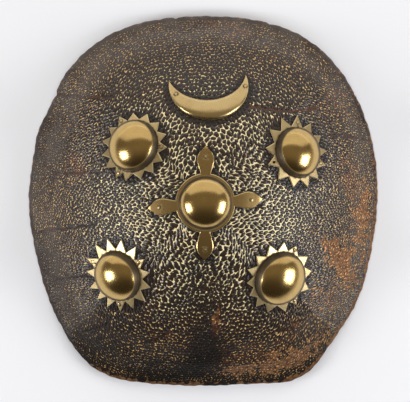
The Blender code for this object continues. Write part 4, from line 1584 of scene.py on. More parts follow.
@dataclass
class Boss:
    """A hollow half-round brass boss, a little dented, with a narrow rolled foot."""

    name: str
    seat: Seat
    radius: float
    height: float = 0.0205
    wall: float = 0.0012
    foot: float = 0.0018
    sectors: int = 84
    outer_bands: int = 30
    inner_bands: int = 8
    dent: float = 0.00022
    tuck: float = 0.00045

    def shell(self, solid: Solid, reach: float, height: float, bands: int, inside: bool) -> list[Array]:
        """Rings of one face from the foot to the top.

        Args:
            solid: The mesh to add to.
            reach: Radius at the foot.
            height: Height over the foot.
            bands: How many rings.
            inside: Whether it is the hollow's face, which has no dents.

        Returns:
            The rings' point numbers, and the top's last.
        """
        random = Random(self.name)
        waves = [(random.uniform(40, 130), random.uniform(0, 360), random.uniform(0, 6)) for _ in range(7)]
        turns = np.arange(self.sectors) * 360 / self.sectors
        rings = []
        for band in range(bands + 1):
            lean = math.radians(90 * (1 - band / bands))
            out, up = math.sin(lean), math.cos(lean)
            spots = polar(reach * out, turns) if band < bands else np.zeros((1, 2))
            if not inside:
                spots = spots * (1 - self.tuck * (smooth(up / 0.1) - smooth((up - 0.1) / 0.25)) / reach)
            lift = np.full(len(spots), self.foot + height * up)
            if not inside and up > 0.12:
                dents = sum(np.sin(spots @ polar(size * 2.0, way) + phase) for size, way, phase in waves)
                inward = self.dent * (dents / len(waves) - 0.55) * smooth((up - 0.12) / 0.3)
                lift = lift + inward * up
                spots = spots * (1 + inward[:, None] * out / reach)
            steep = polar(1.0, turns)[:len(spots)] * (out / reach)
            facing = self.seat.vectors(steep) + self.seat.out * (up / height)
            level = facing[:, 2] / np.linalg.norm(facing, axis=1)
            # Painted shade: a shadow ring at the foot, and shade over the lower sides and wherever the dome
            # turns away from straight up, where it would reflect the dark hide.
            foot = 0.9 * np.clip(1 - up / 0.08, 0, 1) + 0.85 * smooth((0.55 - up) / 0.14)
            grime = np.clip(np.maximum(foot, 0.75 * smooth((0.6 - level) / 0.15)), 0, 0.95)
            rings.append(solid.add(self.seat.place(spots, lift), grime=grime))
        return rings

    def build(self, material: bpy.types.Material) -> None:
        """Makes the boss and settles it.

        Args:
            material: Its material.
        """
        solid = Solid()
        outer = self.shell(solid, self.radius - 0.0001, self.height, self.outer_bands, False)
        inner = self.shell(solid, self.radius - self.wall, self.height - self.wall, self.inner_bands, True)
        solid.strips([*inner[-2::-1], *outer[:-1]])
        solid.fan(outer[-2], outer[-1][0])
        solid.fan(inner[-2][::-1], inner[-1][0])
        settle(solid.piece(f"dome_{self.name}", material, 60.0), [f"boss_{self.name}"])


@dataclass
class Sun:
    """A rayed brass plate with its boss. Its sizes are those of the frame's part."""

    corner: Corner
    across: float
    along: float
    boss: float
    ray: float
    count: int
    turn: float
    crowding: float
    towards: float
    slip: tuple[float, float]
    seed: int
    riveted: tuple[int, ...]
    domed: tuple[float, ...]
    empty: tuple[int, ...] = ()
    boss_radius: float = 0.032
    ray_length: float = 0.012
    margin: float = 0.0018
    rivet_share: float = 0.27
    turn_error: float = 3.2
    length_error: float = 0.0016
    top: float = 0.0015
    bevel: float = 0.0012
    hole: float = 0.0017

    def __post_init__(self) -> None:
        """Works out the seat and the rays, with the slips of hand cutting."""
        self.seat = Seat(self.across * FORM.half_width, self.along * FORM.half_height)
        self.radius = self.boss * self.boss_radius
        self.valley = self.radius + self.margin
        random = Random(self.seed)
        self.tips = []
        for ray in range(self.count):
            even = self.turn + 360 * ray / self.count
            lean = self.crowding * math.cos(math.radians(even - self.towards))
            direction = even + lean + random.uniform(-self.turn_error, self.turn_error)
            length = self.ray * self.ray_length + random.uniform(-self.length_error, self.length_error)
            self.tips.append((direction, self.valley + length))

    def rivet_seat(self, ray: int) -> Seat:
        """The seat of a ray's rivet."""
        (direction, reach), foot = self.tips[ray], self.radius + 0.0026
        return self.seat.beside(self.slip + polar(foot + self.rivet_share * (reach - foot), direction))

    def rivets(self) -> list[Rivet]:
        """The rivets that are left."""
        return [Rivet(self.rivet_seat(ray), self.top, domed) for ray, domed in zip(self.riveted, self.domed)]

    def edge(self) -> tuple[Array, Array]:
        """The plate's outline.

        Returns:
            Plane spots round the outline, and each one's ray.
        """
        spots = []
        up, down = (0, 0.2, 0.45, 0.7, 0.9, 1), (0.9, 0.7, 0.45, 0.2)
        for ray, here in enumerate(self.tips):
            before, after = self.tips[ray - 1], self.tips[(ray + 1) % self.count]
            start = (before[0] - (360 if ray == 0 else 0) + here[0]) / 2
            end = (here[0] + after[0] + (360 if ray == self.count - 1 else 0)) / 2
            tip = self.slip + polar(here[1], here[0])
            for valley, shares in ((polar(self.valley, start), up), (polar(self.valley, end), down)):
                spots += [valley + (tip - valley) * share for share in shares]
        return np.array(spots), np.repeat(np.arange(self.count), len(up + down))

    def build(self, plate: bpy.types.Material, boss: bpy.types.Material) -> None:
        """Makes the plate and the boss and settles them.

        Args:
            plate: The plate's material.
            boss: The boss's material.
        """
        name = self.corner.value
        edge, owner = self.edge()
        reach = np.linalg.norm(edge, axis=1, keepdims=True)
        foot = self.valley - 0.0022
        random = Random(name + "lift")
        raised = np.array([random.uniform(0.1, 0.9) for _ in range(self.count)])[owner] * 0.0011
        radii = [np.full_like(reach, radius) for radius in (0.004, foot * 0.55, foot)]
        radii += [foot + (reach - self.bevel - foot) * share for share in (0.35, 0.7, 1.0)]
        radii.append(reach)
        spots = np.concatenate([edge / reach * radius for radius in radii])
        rows, count = len(radii), len(edge)
        out = (np.concatenate(radii).ravel() - foot) / (0.001 + reach.max() - foot)
        rise = np.tile(raised, rows) * np.clip(out, 0, 1) ** 2
        tops = self.top + rise
        tops[-count:] -= 0.00055
        rivets = [self.seat.spots(rivet.seat.origin) for rivet in self.rivets()]
        # Painted shadow on the plate round the boss's foot and round each rivet.
        grime = np.clip(1.1 - (np.linalg.norm(spots, axis=1) - self.radius) / 0.0015, 0, 1)
        grime = np.maximum(grime, rivet_shade_ring(spots, rivets, 0.9, 0.0028, 0.0008))
        rubbed = np.repeat((0.0, 1.0), ((rows - 1) * count, count))
        faces = rounds(rows, count)
        solid = thick_sheet(self.seat, spots, faces, tops, rise - 0.0001, grime=grime, edge=rubbed)
        made = solid.piece(f"rays_{name}", plate, 28.0)
        for ray in self.empty:
            drill(made, self.rivet_seat(ray), self.hole)
        settle(made, [f"sun_plate_{name}"])
        Boss(name, self.seat, self.radius).build(boss)


@dataclass
class MiddlePlate:
    """The middle boss on its disc with four pointed leaves."""

    radius: float = 0.0315
    margin: float = 0.0042
    directions: tuple[float, ...] = (4.0, 89.5, 185.2, 269.5)
    leaf_length: float = 0.0333
    rivet_share: float = 0.6
    neck: float = 10.0
    top: float = 0.0015
    steps: int = 22
    profile: tuple = ((0.0, 0.0062), (0.24, 0.0085), (0.48, 0.0102), (0.74, 0.0078), (1.0, 0.0))
    columns: tuple[float, ...] = (-1, -0.9, -0.5, -0.2, 0, 0.2, 0.5, 0.9, 1)

    def __post_init__(self) -> None:
        """Works out the seat and the disc."""
        self.seat = Seat(0.013 * FORM.half_width, -0.011 * FORM.half_height)
        self.disc = self.radius + self.margin

    def rivet_spots(self) -> list[Array]:
        """Plane spots of the leaves' rivets."""
        return [polar(self.disc + self.rivet_share * self.leaf_length, way) for way in self.directions]

    def rivets(self) -> list[Rivet]:
        """The leaves' rivets, worn almost flat."""
        return [Rivet(self.seat.beside(spot), self.top, 0.35) for spot in self.rivet_spots()]

    def half(self, share: float) -> float:
        """A leaf's half width, a smooth curve through its profile.

        Args:
            share: How far along the leaf.

        Returns:
            Half the width there.
        """
        shares, halves = (np.array(row, float) for row in zip(*self.profile))
        slopes = np.gradient(halves, shares)
        slopes[0], slopes[-1] = 0.004, -0.034
        at = np.clip(np.searchsorted(shares, share, side="right") - 1, 0, len(shares) - 2)
        step = shares[at + 1] - shares[at]
        t = (share - shares[at]) / step
        low = (1 + 2 * t) * (1 - t) ** 2 * halves[at] + t * (1 - t) ** 2 * step * slopes[at]
        return low + t * t * (3 - 2 * t) * halves[at + 1] + t * t * (t - 1) * step * slopes[at + 1]

    def round_disc(self) -> tuple[Array, list[int]]:
        """Directions of the points round the disc, closer together at the leaves' necks.

        Returns:
            The directions, and where each leaf's neck starts among them.
        """
        turns, necks = [], []
        for number, way in enumerate(self.directions):
            necks.append(len(turns))
            turns += [way + column * self.neck for column in self.columns]
            gap = (self.directions[(number + 1) % 4] - way) % 360 - 2 * self.neck
            turns += [way + self.neck + gap * step / (self.steps + 1) for step in range(1, self.steps + 1)]
        return np.array(turns), necks

    def build(self, plate: bpy.types.Material, boss: bpy.types.Material) -> None:
        """Makes the plate and the boss and settles them.

        Args:
            plate: The plate's material.
            boss: The boss's material.
        """
        turns, necks = self.round_disc()
        count, columns, width = len(turns), np.array(self.columns), len(self.columns)
        radii = (0.004, self.radius * 0.6, self.radius - 0.001, self.disc - 0.001, self.disc)
        spots = [polar(radius, turns) for radius in radii]
        low_rim = np.ones(count)
        for first in necks:
            low_rim[first + 1:first + width - 1] = 0
        tops = [np.full(count, self.top)] * (len(radii) - 1) + [self.top - 0.0006 * low_rim]
        faces = rounds(len(radii), count)
        total = len(radii) * count
        for way, first in zip(self.directions, necks):
            ahead, aside = polar(1.0, way), polar(1.0, way + 90)
            row = (len(radii) - 1) * count + first + np.arange(width)
            for share in (*np.linspace(0.05, 0.85, 13), 0.91, 0.96):
                curve = self.disc * (np.cos(np.radians(columns * self.neck)) - 1) * (1 - share) ** 4
                far = self.disc + share * self.leaf_length + curve
                spots.append(far[:, None] * ahead + (columns * self.half(share))[:, None] * aside)
                lift = np.full(width, self.top - (0.0002 if share > 0.93 else 0))
                lift[[0, -1]] -= 0.0006
                tops.append(lift)
                new = total + np.arange(width)
                faces += [(row[at], new[at], new[at + 1], row[at + 1]) for at in range(width - 1)]
                row, total = new, total + width
            spots.append((self.disc + self.leaf_length) * ahead[None])
            tops.append(np.array([self.top - 0.0005]))
            faces += [(row[at], total, row[at + 1]) for at in range(width - 1)]
            total += 1
        spots, tops = np.concatenate(spots), np.concatenate(tops)
        # Painted shadow on the plate round the boss's foot and round each rivet.
        grime = np.clip(1 - (np.linalg.norm(spots, axis=1) - self.radius) / 0.0011, 0, 1)
        grime = np.maximum(grime, rivet_shade_ring(spots, self.rivet_spots(), 0.8, 0.003, 0.0009))
        rubbed = (tops < self.top - 0.0004) * 1.0
        bottoms = np.full(len(spots), -0.0001)
        solid = thick_sheet(self.seat, spots, faces, tops, bottoms, grime=grime, edge=rubbed)
        settle(solid.piece("leaves", plate, 28.0), ["middle_plate"])
        Boss("middle", self.seat, self.radius, dent=0.0001).build(boss)


@dataclass
class Crescent:
    """The crescent moon, raised out of one sheet and hollow behind."""

    across: float = 0.05
    along: float = 0.47
    turn: float = 5.2
    span: float = 0.0943
    outer_depth: float = 0.0603
    belly: float = 0.0262
    crown: float = 0.0045
    crown_power: float = 0.45
    top: float = 0.0015
    pins: tuple = ((-0.68, 0.6), (0.75, 0.5))
    stations: int = 64
    strips: tuple[float, ...] = (0, 0.02, 0.06, 0.12, 0.2, 0.3, 0.4, 0.5, 0.6, 0.7, 0.8, 0.88, 0.94, 0.98, 1)

    def __post_init__(self) -> None:
        """Works out the seat."""
        self.seat = Seat(self.across * FORM.half_width, self.along * FORM.half_height)

    def spot(self, along: Array | float, across: Array | float) -> Array:
        """Plane spots of the crescent.

        Args:
            along: From -1 to 1 between the tips.
            across: From 0 to 1 inwards.

        Returns:
            The spots.
        """
        half, middles = self.span / 2, []
        for depth in (self.outer_depth, self.outer_depth - self.belly):
            radius = (half ** 2 + depth ** 2) / (2 * depth)
            turn = math.acos((radius - depth) / radius) * along
            middles.append(np.stack([radius * np.sin(turn), radius - depth - radius * np.cos(turn)], axis=-1))
        across = np.asarray(across, float)[..., None]
        spot = middles[0] * (1 - across) + middles[1] * across
        spot = spot + np.array((0.0, self.outer_depth - self.belly / 2))
        c, s = polar(1.0, self.turn)
        return spot @ np.array(((c, s), (-s, c)))

    def swell(self, along: Array | float, across: Array | float) -> Array:
        """How far the sheet swells off the hide."""
        arch = np.clip(1 - (2 * across - 1) ** 2, 0, 1) ** self.crown_power
        return self.crown * (1 - along ** 2) * arch

    def rivets(self) -> list[Rivet]:
        """Its two rivets, worn almost flat."""
        places = [(self.seat.beside(self.spot(*pin)), self.top + self.swell(*pin)) for pin in self.pins]
        return [Rivet(seat, top, 0.3) for seat, top in places]

    def build(self, material: bpy.types.Material) -> None:
        """Makes the crescent and settles it.

        Args:
            material: Its material.
        """
        reach = math.pi / 2 * 0.94
        along = np.sin(np.linspace(-1, 1, self.stations + 1)[1:-1] * reach) / math.sin(reach)
        grid = np.meshgrid(along, np.array(self.strips), indexing="ij")
        ends = self.spot(np.array((-1.0, 1.0)), np.array((0.5, 0.5)))
        spots = np.concatenate([self.spot(*grid).reshape(-1, 2), ends])
        swell = np.append(self.swell(*grid).ravel(), (0.0, 0.0))
        row, last, tip = len(self.strips), len(along) - 1, len(spots) - 2
        faces = []
        for at in range(row - 1):
            faces.append((tip, at, at + 1))
            faces += [(k + at, k + row + at, k + row + at + 1, k + at + 1) for k in range(0, last * row, row)]
            faces.append((last * row + at, tip + 1, last * row + at + 1))
        rim = np.append(np.isin(np.tile(np.arange(row), len(along)), (0, row - 1)), (True, True))
        tops = swell + self.top
        tops[rim] -= 0.0005
        # Painted shadow round each rivet.
        grime = rivet_shade_ring(spots, [self.spot(*pin) for pin in self.pins], 0.9, 0.0028, 0.0008)
        solid = thick_sheet(self.seat, spots, faces, tops, swell - 0.0001, grime=grime, edge=rim * 0.6)
        settle(solid.piece("moon", material, 50.0), ["crescent"])


@dataclass
class Rivets:
    """All rivets, set by Geometry Nodes: a low head with a button, a shank, and a tail behind."""

    rivets: list[Rivet]
    nodes: list[str]
    radius: float = 0.0026
    height: float = 0.001
    tail_radius: float = 0.003
    tail_height: float = 0.0014
    sides: int = 20

    def build(self, material: bpy.types.Material) -> None:
        """Sets a stud at each rivet's head and tail, and settles the result.

        Args:
            material: The rivets' material.
        """
        rows = []
        for rivet in self.rivets:
            seat, high = rivet.seat, self.height * (0.35 + 0.65 * rivet.domed)
            rows.append((seat.origin + seat.out * (rivet.top - 0.0001), seat.out, self.radius, high))
            tail = seat.origin - seat.out * (FORM.thickness + 0.0004)
            rows.append((tail, -seat.out, self.tail_radius, self.tail_height))
        points, out, wide, high = zip(*rows)
        host = bare_points("rivets", points, out=out, wide=wide, high=high)
        sizes = {"Sides": self.sides, "Button Radius": 0.5, "Button Height": 1.25, "Shank Radius": 0.5}
        tree = Making("rivet_setting", sizes)
        wide = tree.carried("wide")
        size = tree.triple(wide, wide, tree.carried("high"))
        tree.apply(host, tree.on_host(self.stud(tree), "out", Scale=size), material)
        host.data.shade_smooth()
        host.data.set_sharp_from_angle(angle=math.radians(50))
        settle(host, self.nodes)

    @staticmethod
    def stud(tree: Making) -> Signal:
        """A stud whose head has radius and height 1, with painted shade round its edge.

        Args:
            tree: The tree that makes it.

        Returns:
            The stud.
        """
        place = tree.node("GeometryNodeInputPosition", {}, {})
        level = tree.vector("MULTIPLY", place, {1: (1.0, 1.0, 0.0)})
        # Painted shade round the edge of the head.
        grime = (tree.vector("LENGTH", level, {}, "Value") - 0.58).step(0.0, 0.2)
        values = {"Geometry": tree.ball(tree.size("Sides"), 10), "Name": "grime", "Value": grime}
        head = tree.node("GeometryNodeStoreNamedAttribute", {"data_type": "FLOAT", "domain": "POINT"}, values)
        button = tree.size("Button Radius")
        values = {"Geometry": tree.ball(tree.size("Sides"), 10),
                  "Scale": tree.triple(button, button, tree.size("Button Height"))}
        knob = tree.node("GeometryNodeTransform", {}, values)
        rod = {"Vertices": tree.size("Sides"), "Radius": tree.size("Shank Radius"), "Depth": 3.0}
        shank = tree.node("GeometryNodeMeshCylinder", {}, rod, "Mesh")
        shank = tree.node("GeometryNodeTransform", {}, {"Geometry": shank, "Translation": (0.0, 0.0, -1.6)})
        return tree.joined(head, knob, shank)


# ---------------------------------------------------------------- back fittings


@dataclass
class GripSide:
    """The plane in which a grip hangs between the eyes of two ring bolts."""

    upper: Seat
    lower: Seat
    collar: float = 0.0015
    eye_radius: float = 0.0058
    eye_wire: float = 0.0018
    ring_radius: float = 0.015
    ring_wire: float = 0.002
    clearance: float = 0.0005
    pull_turn: float = 32.0
    tail_clearance: float = 0.0006

    def __post_init__(self) -> None:
        """Works out the eyes and the plane's axes."""
        drop = FORM.thickness + self.tail_clearance + self.collar + self.eye_radius + self.eye_wire / 2
        self.eyes = [seat.origin - seat.out * drop for seat in (self.upper, self.lower)]
        away = self.eyes[0] - self.eyes[1]
        self.up = away / np.linalg.norm(away)
        inward = -(self.upper.out + self.lower.out)
        inward = inward - self.up * (inward @ self.up)
        self.inward = inward / np.linalg.norm(inward)
        self.across = np.cross(self.up, self.inward)
        self.middle = (self.eyes[0] + self.eyes[1]) / 2
        wire = self.ring_centre(1) + self.pull(1) * self.ring_radius - self.middle
        self.wire = np.array([wire @ self.up, wire @ self.inward])

    def pull(self, end: int) -> Array:
        """Direction in which the grip pulls the ring at its upper (1) or lower (-1) end."""
        lean, rise = polar(1.0, self.pull_turn)
        return self.inward * rise - self.up * end * lean

    def ring_centre(self, end: int) -> Array:
        """Middle of the ring that hangs in an eye."""
        slack = self.eye_radius - self.eye_wire - self.ring_wire - self.clearance
        return self.eyes[0 if end > 0 else 1] + self.pull(end) * (slack + self.ring_radius)

    def space(self, flat: Array, across: float) -> Array:
        """A point in space, from its place in the plane and across it."""
        return self.middle + self.up * flat[0] + self.inward * flat[1] + self.across * across


@dataclass
class Grip:
    """A doubled leather band, sewn along both edges and looped round two rings."""

    node: str
    side: GripSide
    width: float = 0.028
    end_width: float = 0.014
    layer: float = 0.0027
    gap: float = 0.0002
    narrowing: tuple[float, float] = (0.19, 0.81)
    stitch_pitch: float = 0.005
    stitch_inset: float = 0.0025
    stitch_length: float = 0.0019
    stitch_thickness: float = 0.0005
    sewn_share: float = 0.8
    loop_steps: int = 25
    bow_steps: int = 49
    half_section: tuple = (
        (1, 0), (0.985, 0.55), (0.93, 0.95), (0.6, 1), (0, 1.02), (-0.6, 1), (-0.93, 0.95), (-0.985, 0.55),
    )

    def path(self) -> Array:
        """The band's middle line seen from the side.

        Returns:
            Its points, once round, turning left from the upper ring.
        """
        side, rows = self.side, []
        lean, rise = polar(1.0, side.pull_turn)
        apart = (self.layer + self.gap) / 2
        radius = side.ring_wire + side.clearance + self.layer / 2
        neck = math.degrees(math.asin(apart / radius))
        chord = math.sqrt(side.ring_radius ** 2 - (self.end_width / 2) ** 2)
        drawn = side.ring_radius - chord + side.clearance
        bow = side.wire[0] / rise
        for end in (1, -1):
            turns = np.linspace(180 - neck, neck - 180, self.loop_steps)
            to_eye, beside = np.array((lean * end, -rise)), np.array((rise, lean * end))
            c, s = polar(radius, turns).T
            out = drawn * smooth((130 - np.abs(turns)) / 60)
            centre = np.array((side.wire[0] * end, side.wire[1]))
            rows.append(centre + (c + out)[:, None] * to_eye + s[:, None] * beside)
            arc = np.linspace(0.86, -0.86, self.bow_steps) * side.pull_turn * end
            spot = polar(bow - apart * end, arc)
            rows.append(np.column_stack([spot[:, 1], side.wire[1] + spot[:, 0] - bow * lean]))
        return np.concatenate(rows)

    def half_width(self, along: Array) -> Array:
        """The band's narrowing towards its ends.

        Args:
            along: Places along the band, from its middle.

        Returns:
            Half the band's width at each.
        """
        start, end = self.narrowing
        narrow = smooth((np.abs(along) / np.abs(along).max() - start) / (end - start))
        return (self.width + (self.end_width - self.width) * narrow) / 2

    def build(self, leather: bpy.types.Material, thread: bpy.types.Material) -> None:
        """Makes the band and its stitches and settles them.

        Args:
            leather: The band's material.
            thread: The stitches' material.
        """
        path = self.path()
        tangent = np.roll(path, -1, axis=0) - np.roll(path, 1, axis=0)
        tangent /= np.linalg.norm(tangent, axis=1, keepdims=True)
        normal = np.column_stack([-tangent[:, 1], tangent[:, 0]])
        half, thick = self.half_width(path[:, 0]), self.layer / 2
        section = self.half_section + tuple((-across, -out) for across, out in self.half_section)
        phase = Random(self.node).uniform(0, 6)
        edge = np.array([abs(across) ** 6 for across, _ in section])
        solid, rings = Solid(), []
        for at, here in enumerate(path):
            spots = []
            for across, out in section:
                wobble = 0.00025 * math.sin(here[0] * 180 + phase) * abs(across)
                spots.append(self.side.space(here + normal[at] * out * thick, across * (half[at] + wobble)))
            rings.append(solid.add(np.array(spots), edge=edge))
        solid.strips([*rings, rings[0]])
        made = solid.piece(f"band_{self.node}", leather, None)
        made.data.flip_normals()
        settle(made, [self.node])
        self.stitch(path, normal, half, thread)

    def stitch(self, path: Array, normal: Array, half: Array, thread: bpy.types.Material) -> None:
        """Sews both edges of both layers, a stitch every pitch.

        Args:
            path: The band's middle line.
            normal: Its normals.
            half: Its half widths.
            thread: The thread's material.
        """
        side, far = self.side, np.abs(path[:, 0]).max() * self.sewn_share
        points, out, edges = [], [], []
        for end, layer in enumerate((self.loop_steps, self.bow_steps + 2 * self.loop_steps)):
            stretch = [at for at in range(layer + 2, layer + self.bow_steps - 2) if abs(path[at][0]) <= far]
            for edge in (-1, 1):
                first = len(points)
                for at in stretch:
                    bowed = self.bowed(path, at, normal[at])
                    flat, across = path[at] + bowed * (self.layer / 2), half[at] - self.stitch_inset
                    points.append(side.space(flat, edge * across))
                    out.append(side.up * bowed[0] + side.inward * bowed[1])
                edges += [(at, at + 1) for at in range(first, len(points) - 1)]
        host = bare_points(f"stitches_{self.node}", points, edges, out=out)
        sizes = {"Pitch": self.stitch_pitch, "Length": self.stitch_length, "Thickness": self.stitch_thickness}
        tree = Making(f"sewing_{self.node}", sizes)
        line = tree.node("GeometryNodeMeshToCurve", {}, {"Mesh": tree.host})
        values = {"Curve": line, "Length": tree.size("Pitch")}
        spots = tree.node("GeometryNodeCurveToPoints", {"mode": "LENGTH"}, values, "Points")
        axes = {"Primary Axis": spots.also("Tangent"), "Secondary Axis": tree.carried("out", "FLOAT_VECTOR")}
        turn = tree.node("FunctionNodeAxesToRotation", {"primary_axis": "X", "secondary_axis": "Z"}, axes)
        thick = tree.size("Thickness")
        size = tree.triple(tree.size("Length"), thick, thick)
        tree.apply(host, tree.set_on(spots, tree.ball(8, 6), turn, Scale=size), thread)
        host.data.shade_smooth()
        settle(host)

    def bowed(self, path: Array, at: int, normal: Array) -> Array:
        """A normal of the path, turned to the side to which the band bows."""
        opposite = path[2 * self.loop_steps + self.bow_steps - 1 - at]
        return normal if normal @ (path[at] - opposite) > 0 else -normal


@dataclass
class Wires:
    """Rings of bent wire, made by Geometry Nodes: one on each point, round the axis it carries."""

    name: str
    radius: float
    wire: float
    turns: int = 56
    sides: int = 12

    def build(self, centres: list[Array], axes: list[Array], material: bpy.types.Material,
              nodes: Iterable[str] = ()) -> None:
        """Makes the rings and settles them.

        Args:
            centres: The rings' middles.
            axes: The rings' axes.
            material: The wire's material.
            nodes: The frame's nodes that the rings stand for.
        """
        host = bare_points(self.name, centres, axis=axes)
        tree = Making(f"bending_{self.name}", {
            "Ring Radius": self.radius, "Wire Radius": self.wire, "Turns": self.turns, "Sides": self.sides,
        })
        circles = []
        for steps, radius in (("Turns", "Ring Radius"), ("Sides", "Wire Radius")):
            values = {"Resolution": tree.size(steps), "Radius": tree.size(radius)}
            circles.append(tree.node("GeometryNodeCurvePrimitiveCircle", {}, values, "Curve"))
        values = {"Curve": circles[0], "Profile Curve": circles[1]}
        tree.apply(host, tree.on_host(tree.node("GeometryNodeCurveToMesh", {}, values), "axis"), material)
        host.data.shade_smooth()
        settle(host, nodes)


@dataclass
class RingBolts:
    """The four bolts that hold the bosses, each with a collar behind the hide."""

    seats: dict[Corner, Seat]
    radius: float = 0.0025
    collar_radius: float = 0.0065
    collar: float = 0.0015
    boss_top: float = 0.0203
    tail_clearance: float = 0.0006
    sides: int = 28

    def build(self, material: bpy.types.Material) -> None:
        """Turns the bolts and settles them.

        Args:
            material: Their material.
        """
        solid, turns = Solid(), np.arange(self.sides) * 360 / self.sides
        r, wide, thick = self.radius, self.collar_radius, self.collar
        back = -(FORM.thickness + self.tail_clearance)
        low = back - 2 * thick
        profile = (
            (r * 0.9, low), (r * 1.1, low + 0.0003), (r * 1.5, back - thick - 0.0002),
            (wide * 0.92, back - thick), (wide, back - thick + 0.0004), (wide, back - 0.0003),
            (wide * 0.94, back), (r, back), (r, self.boss_top - 0.0005), (r * 0.8, self.boss_top),
        )
        for seat in self.seats.values():
            solid.strips([solid.add(seat.ring(radius, turns, lift)) for radius, lift in profile], True)
        made = solid.piece("ring_bolts", material, 40.0)
        settle(made, [f"ring_bolt_{corner.value}" for corner in self.seats])


# ---------------------------------------------------------------- the whole


class Fittings:
    """All that is fixed to the hide."""

    def __init__(self) -> None:
        """Lays out the suns, the middle plate and the crescent."""
        # Corner, across and along as shares of the hide's halves, shares of boss and ray, rays, turn,
        # crowding and towards, slip, seed, riveted rays, how far each rivet's head stands up, empty rays
        self.suns = [
            Sun(Corner.UPPER_LEFT, -0.3766, 0.284, 1.004, 0.8, 15, 22.7, 1.8, 130,
                (-0.00031, 0.00023), 45102, (4, 9, 14), (0.3, 0.3, 0.3)),
            Sun(Corner.UPPER_RIGHT, 0.5138, 0.2524, 0.973, 1.0, 13, 4.7, 5.5, 245,
                (0.00042, 0.00093), 159122, (3, 12), (0.3, 0.3), (7,)),
            Sun(Corner.LOWER_LEFT, -0.4641, -0.3897, 0.974, 1.136, 15, 5.0, 3.4, 176,
                (-0.00184, 0.00057), 82086, (1, 6, 11), (0.8, 0.3, 1.4)),
            Sun(Corner.LOWER_RIGHT, 0.4196, -0.402, 1.048, 0.82, 14, 8.6, 5.8, 102,
                (0.0008, -0.00005), 48445, (2, 12), (1.4, 1.4)),
        ]
        self.middle, self.crescent = MiddlePlate(), Crescent()

    def empty_holes(self, corner: Corner) -> list[Seat]:
        """The seats of the rivets that a corner has lost."""
        return [sun.rivet_seat(ray) for sun in self.suns if sun.corner is corner for ray in sun.empty]

    def shelter_and_shade(self, x: Array, y: Array) -> Array:
        """How much the brass keeps polish and wear off the hide beside it and paints shade there, reaching a
        little lower below the crescent as a painted shadow.

        Args:
            x: Points of the ground.
            y: Points of the ground.

        Returns:
            Its share at each, from 0 to 1.
        """
        points, cover = FORM.point(x, y), np.zeros_like(x)
        for sun in self.suns:
            away = np.linalg.norm(points - sun.seat.origin, axis=-1)
            reach = sun.valley + sun.ray * sun.ray_length
            cover = np.maximum(cover, smooth((reach + 0.004 - away) / 0.006))
        plate, moon = self.middle, self.crescent
        u, v = np.moveaxis(plate.seat.spots(points), -1, 0)
        cover = np.maximum(cover, smooth((plate.disc + 0.004 - np.hypot(u, v)) / 0.005))
        for way in plate.directions:
            c, s = polar(1.0, way)
            along, aside = u * c + v * s, np.abs(v * c - u * s)
            inside = smooth((plate.disc + plate.leaf_length + 0.003 - along) / 0.006) * smooth(along / 0.01)
            cover = np.maximum(cover, inside * smooth((0.0125 - aside) / 0.004))
        u, v = np.moveaxis(moon.seat.spots(points), -1, 0)
        near, stations = np.full(x.shape, 1.0), np.linspace(-0.93, 0.93, 40)
        for spot, share in zip(moon.spot(stations, np.full(40, 0.5)), stations):
            half = moon.belly / 2 * (1 - share ** 2) + 0.002
            near = np.minimum(near, np.hypot(u - spot[0], v - spot[1] + 0.002) - half)
        return np.maximum(cover, smooth((0.006 - near) / 0.005))

    def build(self) -> None:
        """Makes every fitting."""
        boss = Brass("boss_brass", tarnished=0.3, roughness=0.19).material()
        sun = Brass("sun_brass", (0.7, 0.54, 0.28), (0.46, 0.33, 0.15), 0.4, 0.32).material()
        leaf = Brass("leaf_brass", (0.56, 0.39, 0.165), (0.36, 0.22, 0.085), 0.45, 0.27).material()
        moon = Brass("crescent_brass", (0.64, 0.48, 0.23), (0.45, 0.29, 0.13), 0.4, 0.26).material()
        pin = Brass("rivet_brass", (0.64, 0.48, 0.23), (0.36, 0.24, 0.1), 0.5, 0.3).material()
        for plate in self.suns:
            plate.build(sun, boss)
        self.middle.build(leaf, boss)
        self.crescent.build(moon)
        rivets = [rivet for part in (*self.suns, self.middle, self.crescent) for rivet in part.rivets()]
        Rivets(rivets, sorted(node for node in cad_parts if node.startswith("rivet_"))).build(pin)
        self.back()

    def back(self) -> None:
        """Makes the ring bolts, rings and grips behind the hide."""
        iron, leather, thread = ForgedIron().material(), GripLeather().material(), WaxedThread().material()
        seats = {sun.corner: sun.seat for sun in self.suns}
        RingBolts(seats).build(iron)
        rings, eyes = [], []
        for name in ("left", "right"):
            side = GripSide(seats[Corner(f"upper_{name}")], seats[Corner(f"lower_{name}")])
            rings += [(side.ring_centre(end), np.cross(side.across, side.pull(end))) for end in (1, -1)]
            eyes += [(eye, np.cross(side.up, side.inward)) for eye in side.eyes]
            Grip(f"grip_{name}", side).build(leather, thread)
        nodes = [f"ring_{corner.value}" for corner in Corner]
        Wires("rings", side.ring_radius, side.ring_wire).build(*zip(*rings), iron, nodes)
        Wires("eyes", side.eye_radius, side.eye_wire, 40).build(*zip(*eyes), iron)


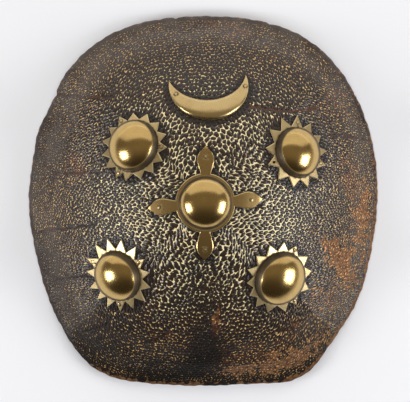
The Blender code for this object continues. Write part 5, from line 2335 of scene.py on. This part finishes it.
@dataclass
class Studio:
    """A pale floor, soft lights and the photograph's camera straight above."""

    height: float = 2.3
    lens: float = 158.1
    offset: float = 0.0025
    white: Colour = (0.97, 0.98, 1.0)
    sky: tuple = (
        (0.0, (0.85, 0.86, 0.88)), (0.03, (0.5, 0.48, 0.45)), (0.1, (0.16, 0.13, 0.1)),
        (0.5, (0.15, 0.125, 0.09)), (1.0, (0.25, 0.21, 0.15)),
    )

    def build(self) -> None:
        """Sets up the floor, the lights, the surroundings and the camera."""
        self.floor()
        self.light("wall", (0.0, 1.7, 1.22), (6.0, 2.44), 0.75, (1.0, 0.98, 0.95))
        self.light("left_box", (*polar(2.0, 196), 1.28), (0.8, 1.05), 10.0, self.white)
        self.light("right_box", (*polar(2.0, -14), 1.28), (1.2, 1.1), 8.0, self.white)
        fill = self.light("fill", (0.0, 0.0, 3.1), (4.5, 4.5), 0.9, (0.98, 0.99, 1.0))
        fill.visible_glossy = False
        self.surroundings()
        camera = linked("camera", bpy.data.cameras.new("camera"))
        camera.data.lens = self.lens
        camera.data.sensor_width = 36.0
        camera.location = (self.offset - SHIFT[0], -SHIFT[1], self.height)
        bpy.context.scene.camera = camera
        bpy.context.scene.view_settings.view_transform = "Standard"

    @staticmethod
    def floor() -> None:
        """A large pale plane, two millimetres thick."""
        square = np.array(((-1, -1), (1, -1), (1, 1), (-1, 1))) * 6.0
        solid = Solid()
        rows = [solid.add(np.column_stack([square, np.full(4, level)]) + SHIFT) for level in (-0.002, 0.0)]
        solid.strips(rows, True)
        solid.piece("floor", PaleFloor().material())

    @staticmethod
    def light(name: str, place: tuple, size: tuple[float, float], strength: float,
              colour: Colour) -> bpy.types.Object:
        """Adds an area light that faces the shield's axis, or down from straight above.

        Args:
            name: Its name.
            place: Its middle.
            size: Its width and height.
            strength: Its radiance.
            colour: Its colour.

        Returns:
            The light.
        """
        data = bpy.data.lights.new(name, "AREA")
        data.shape, data.size, data.size_y = "RECTANGLE", *size
        data.energy, data.color = strength * math.pi * size[0] * size[1], colour
        made = linked(name, data)
        made.location = place
        aim = (place[0], place[1], 0.0) if place[0] or place[1] else place
        made.rotation_euler = Vector(aim).to_track_quat("Z", "Y").to_euler()
        made.visible_camera = False
        return made

    def surroundings(self) -> None:
        """Pale near the floor, dark overhead."""
        world = bpy.data.worlds.new("studio")
        world.use_nodes = True
        board = Board(world.node_tree)
        way = board.node("ShaderNodeTexCoord", {}, {}, "Generated")
        up = board.node("ShaderNodeSeparateXYZ", {}, {"Vector": way}, "Z")
        shade = 1 - (1 - up.also("Y").step(-0.65, 0.15)) * up.step(0.04, 0.15) * 0.7
        colour = board.scaled(board.node("ShaderNodeValToRGB", {"stops": self.sky}, {"Fac": up}), shade)
        board.fill(world.node_tree.nodes["Background"], {"Color": colour})
        bpy.context.scene.world = world


def main() -> None:
    """Builds the shield and its studio, and reports each piece."""
    logging.basicConfig(level=logging.INFO, format="%(message)s")
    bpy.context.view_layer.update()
    fittings = Fittings()
    HideSkin(fittings).build()
    fittings.build()
    Studio().build()
    bpy.context.view_layer.update()


if __name__ == "__main__":
    main()
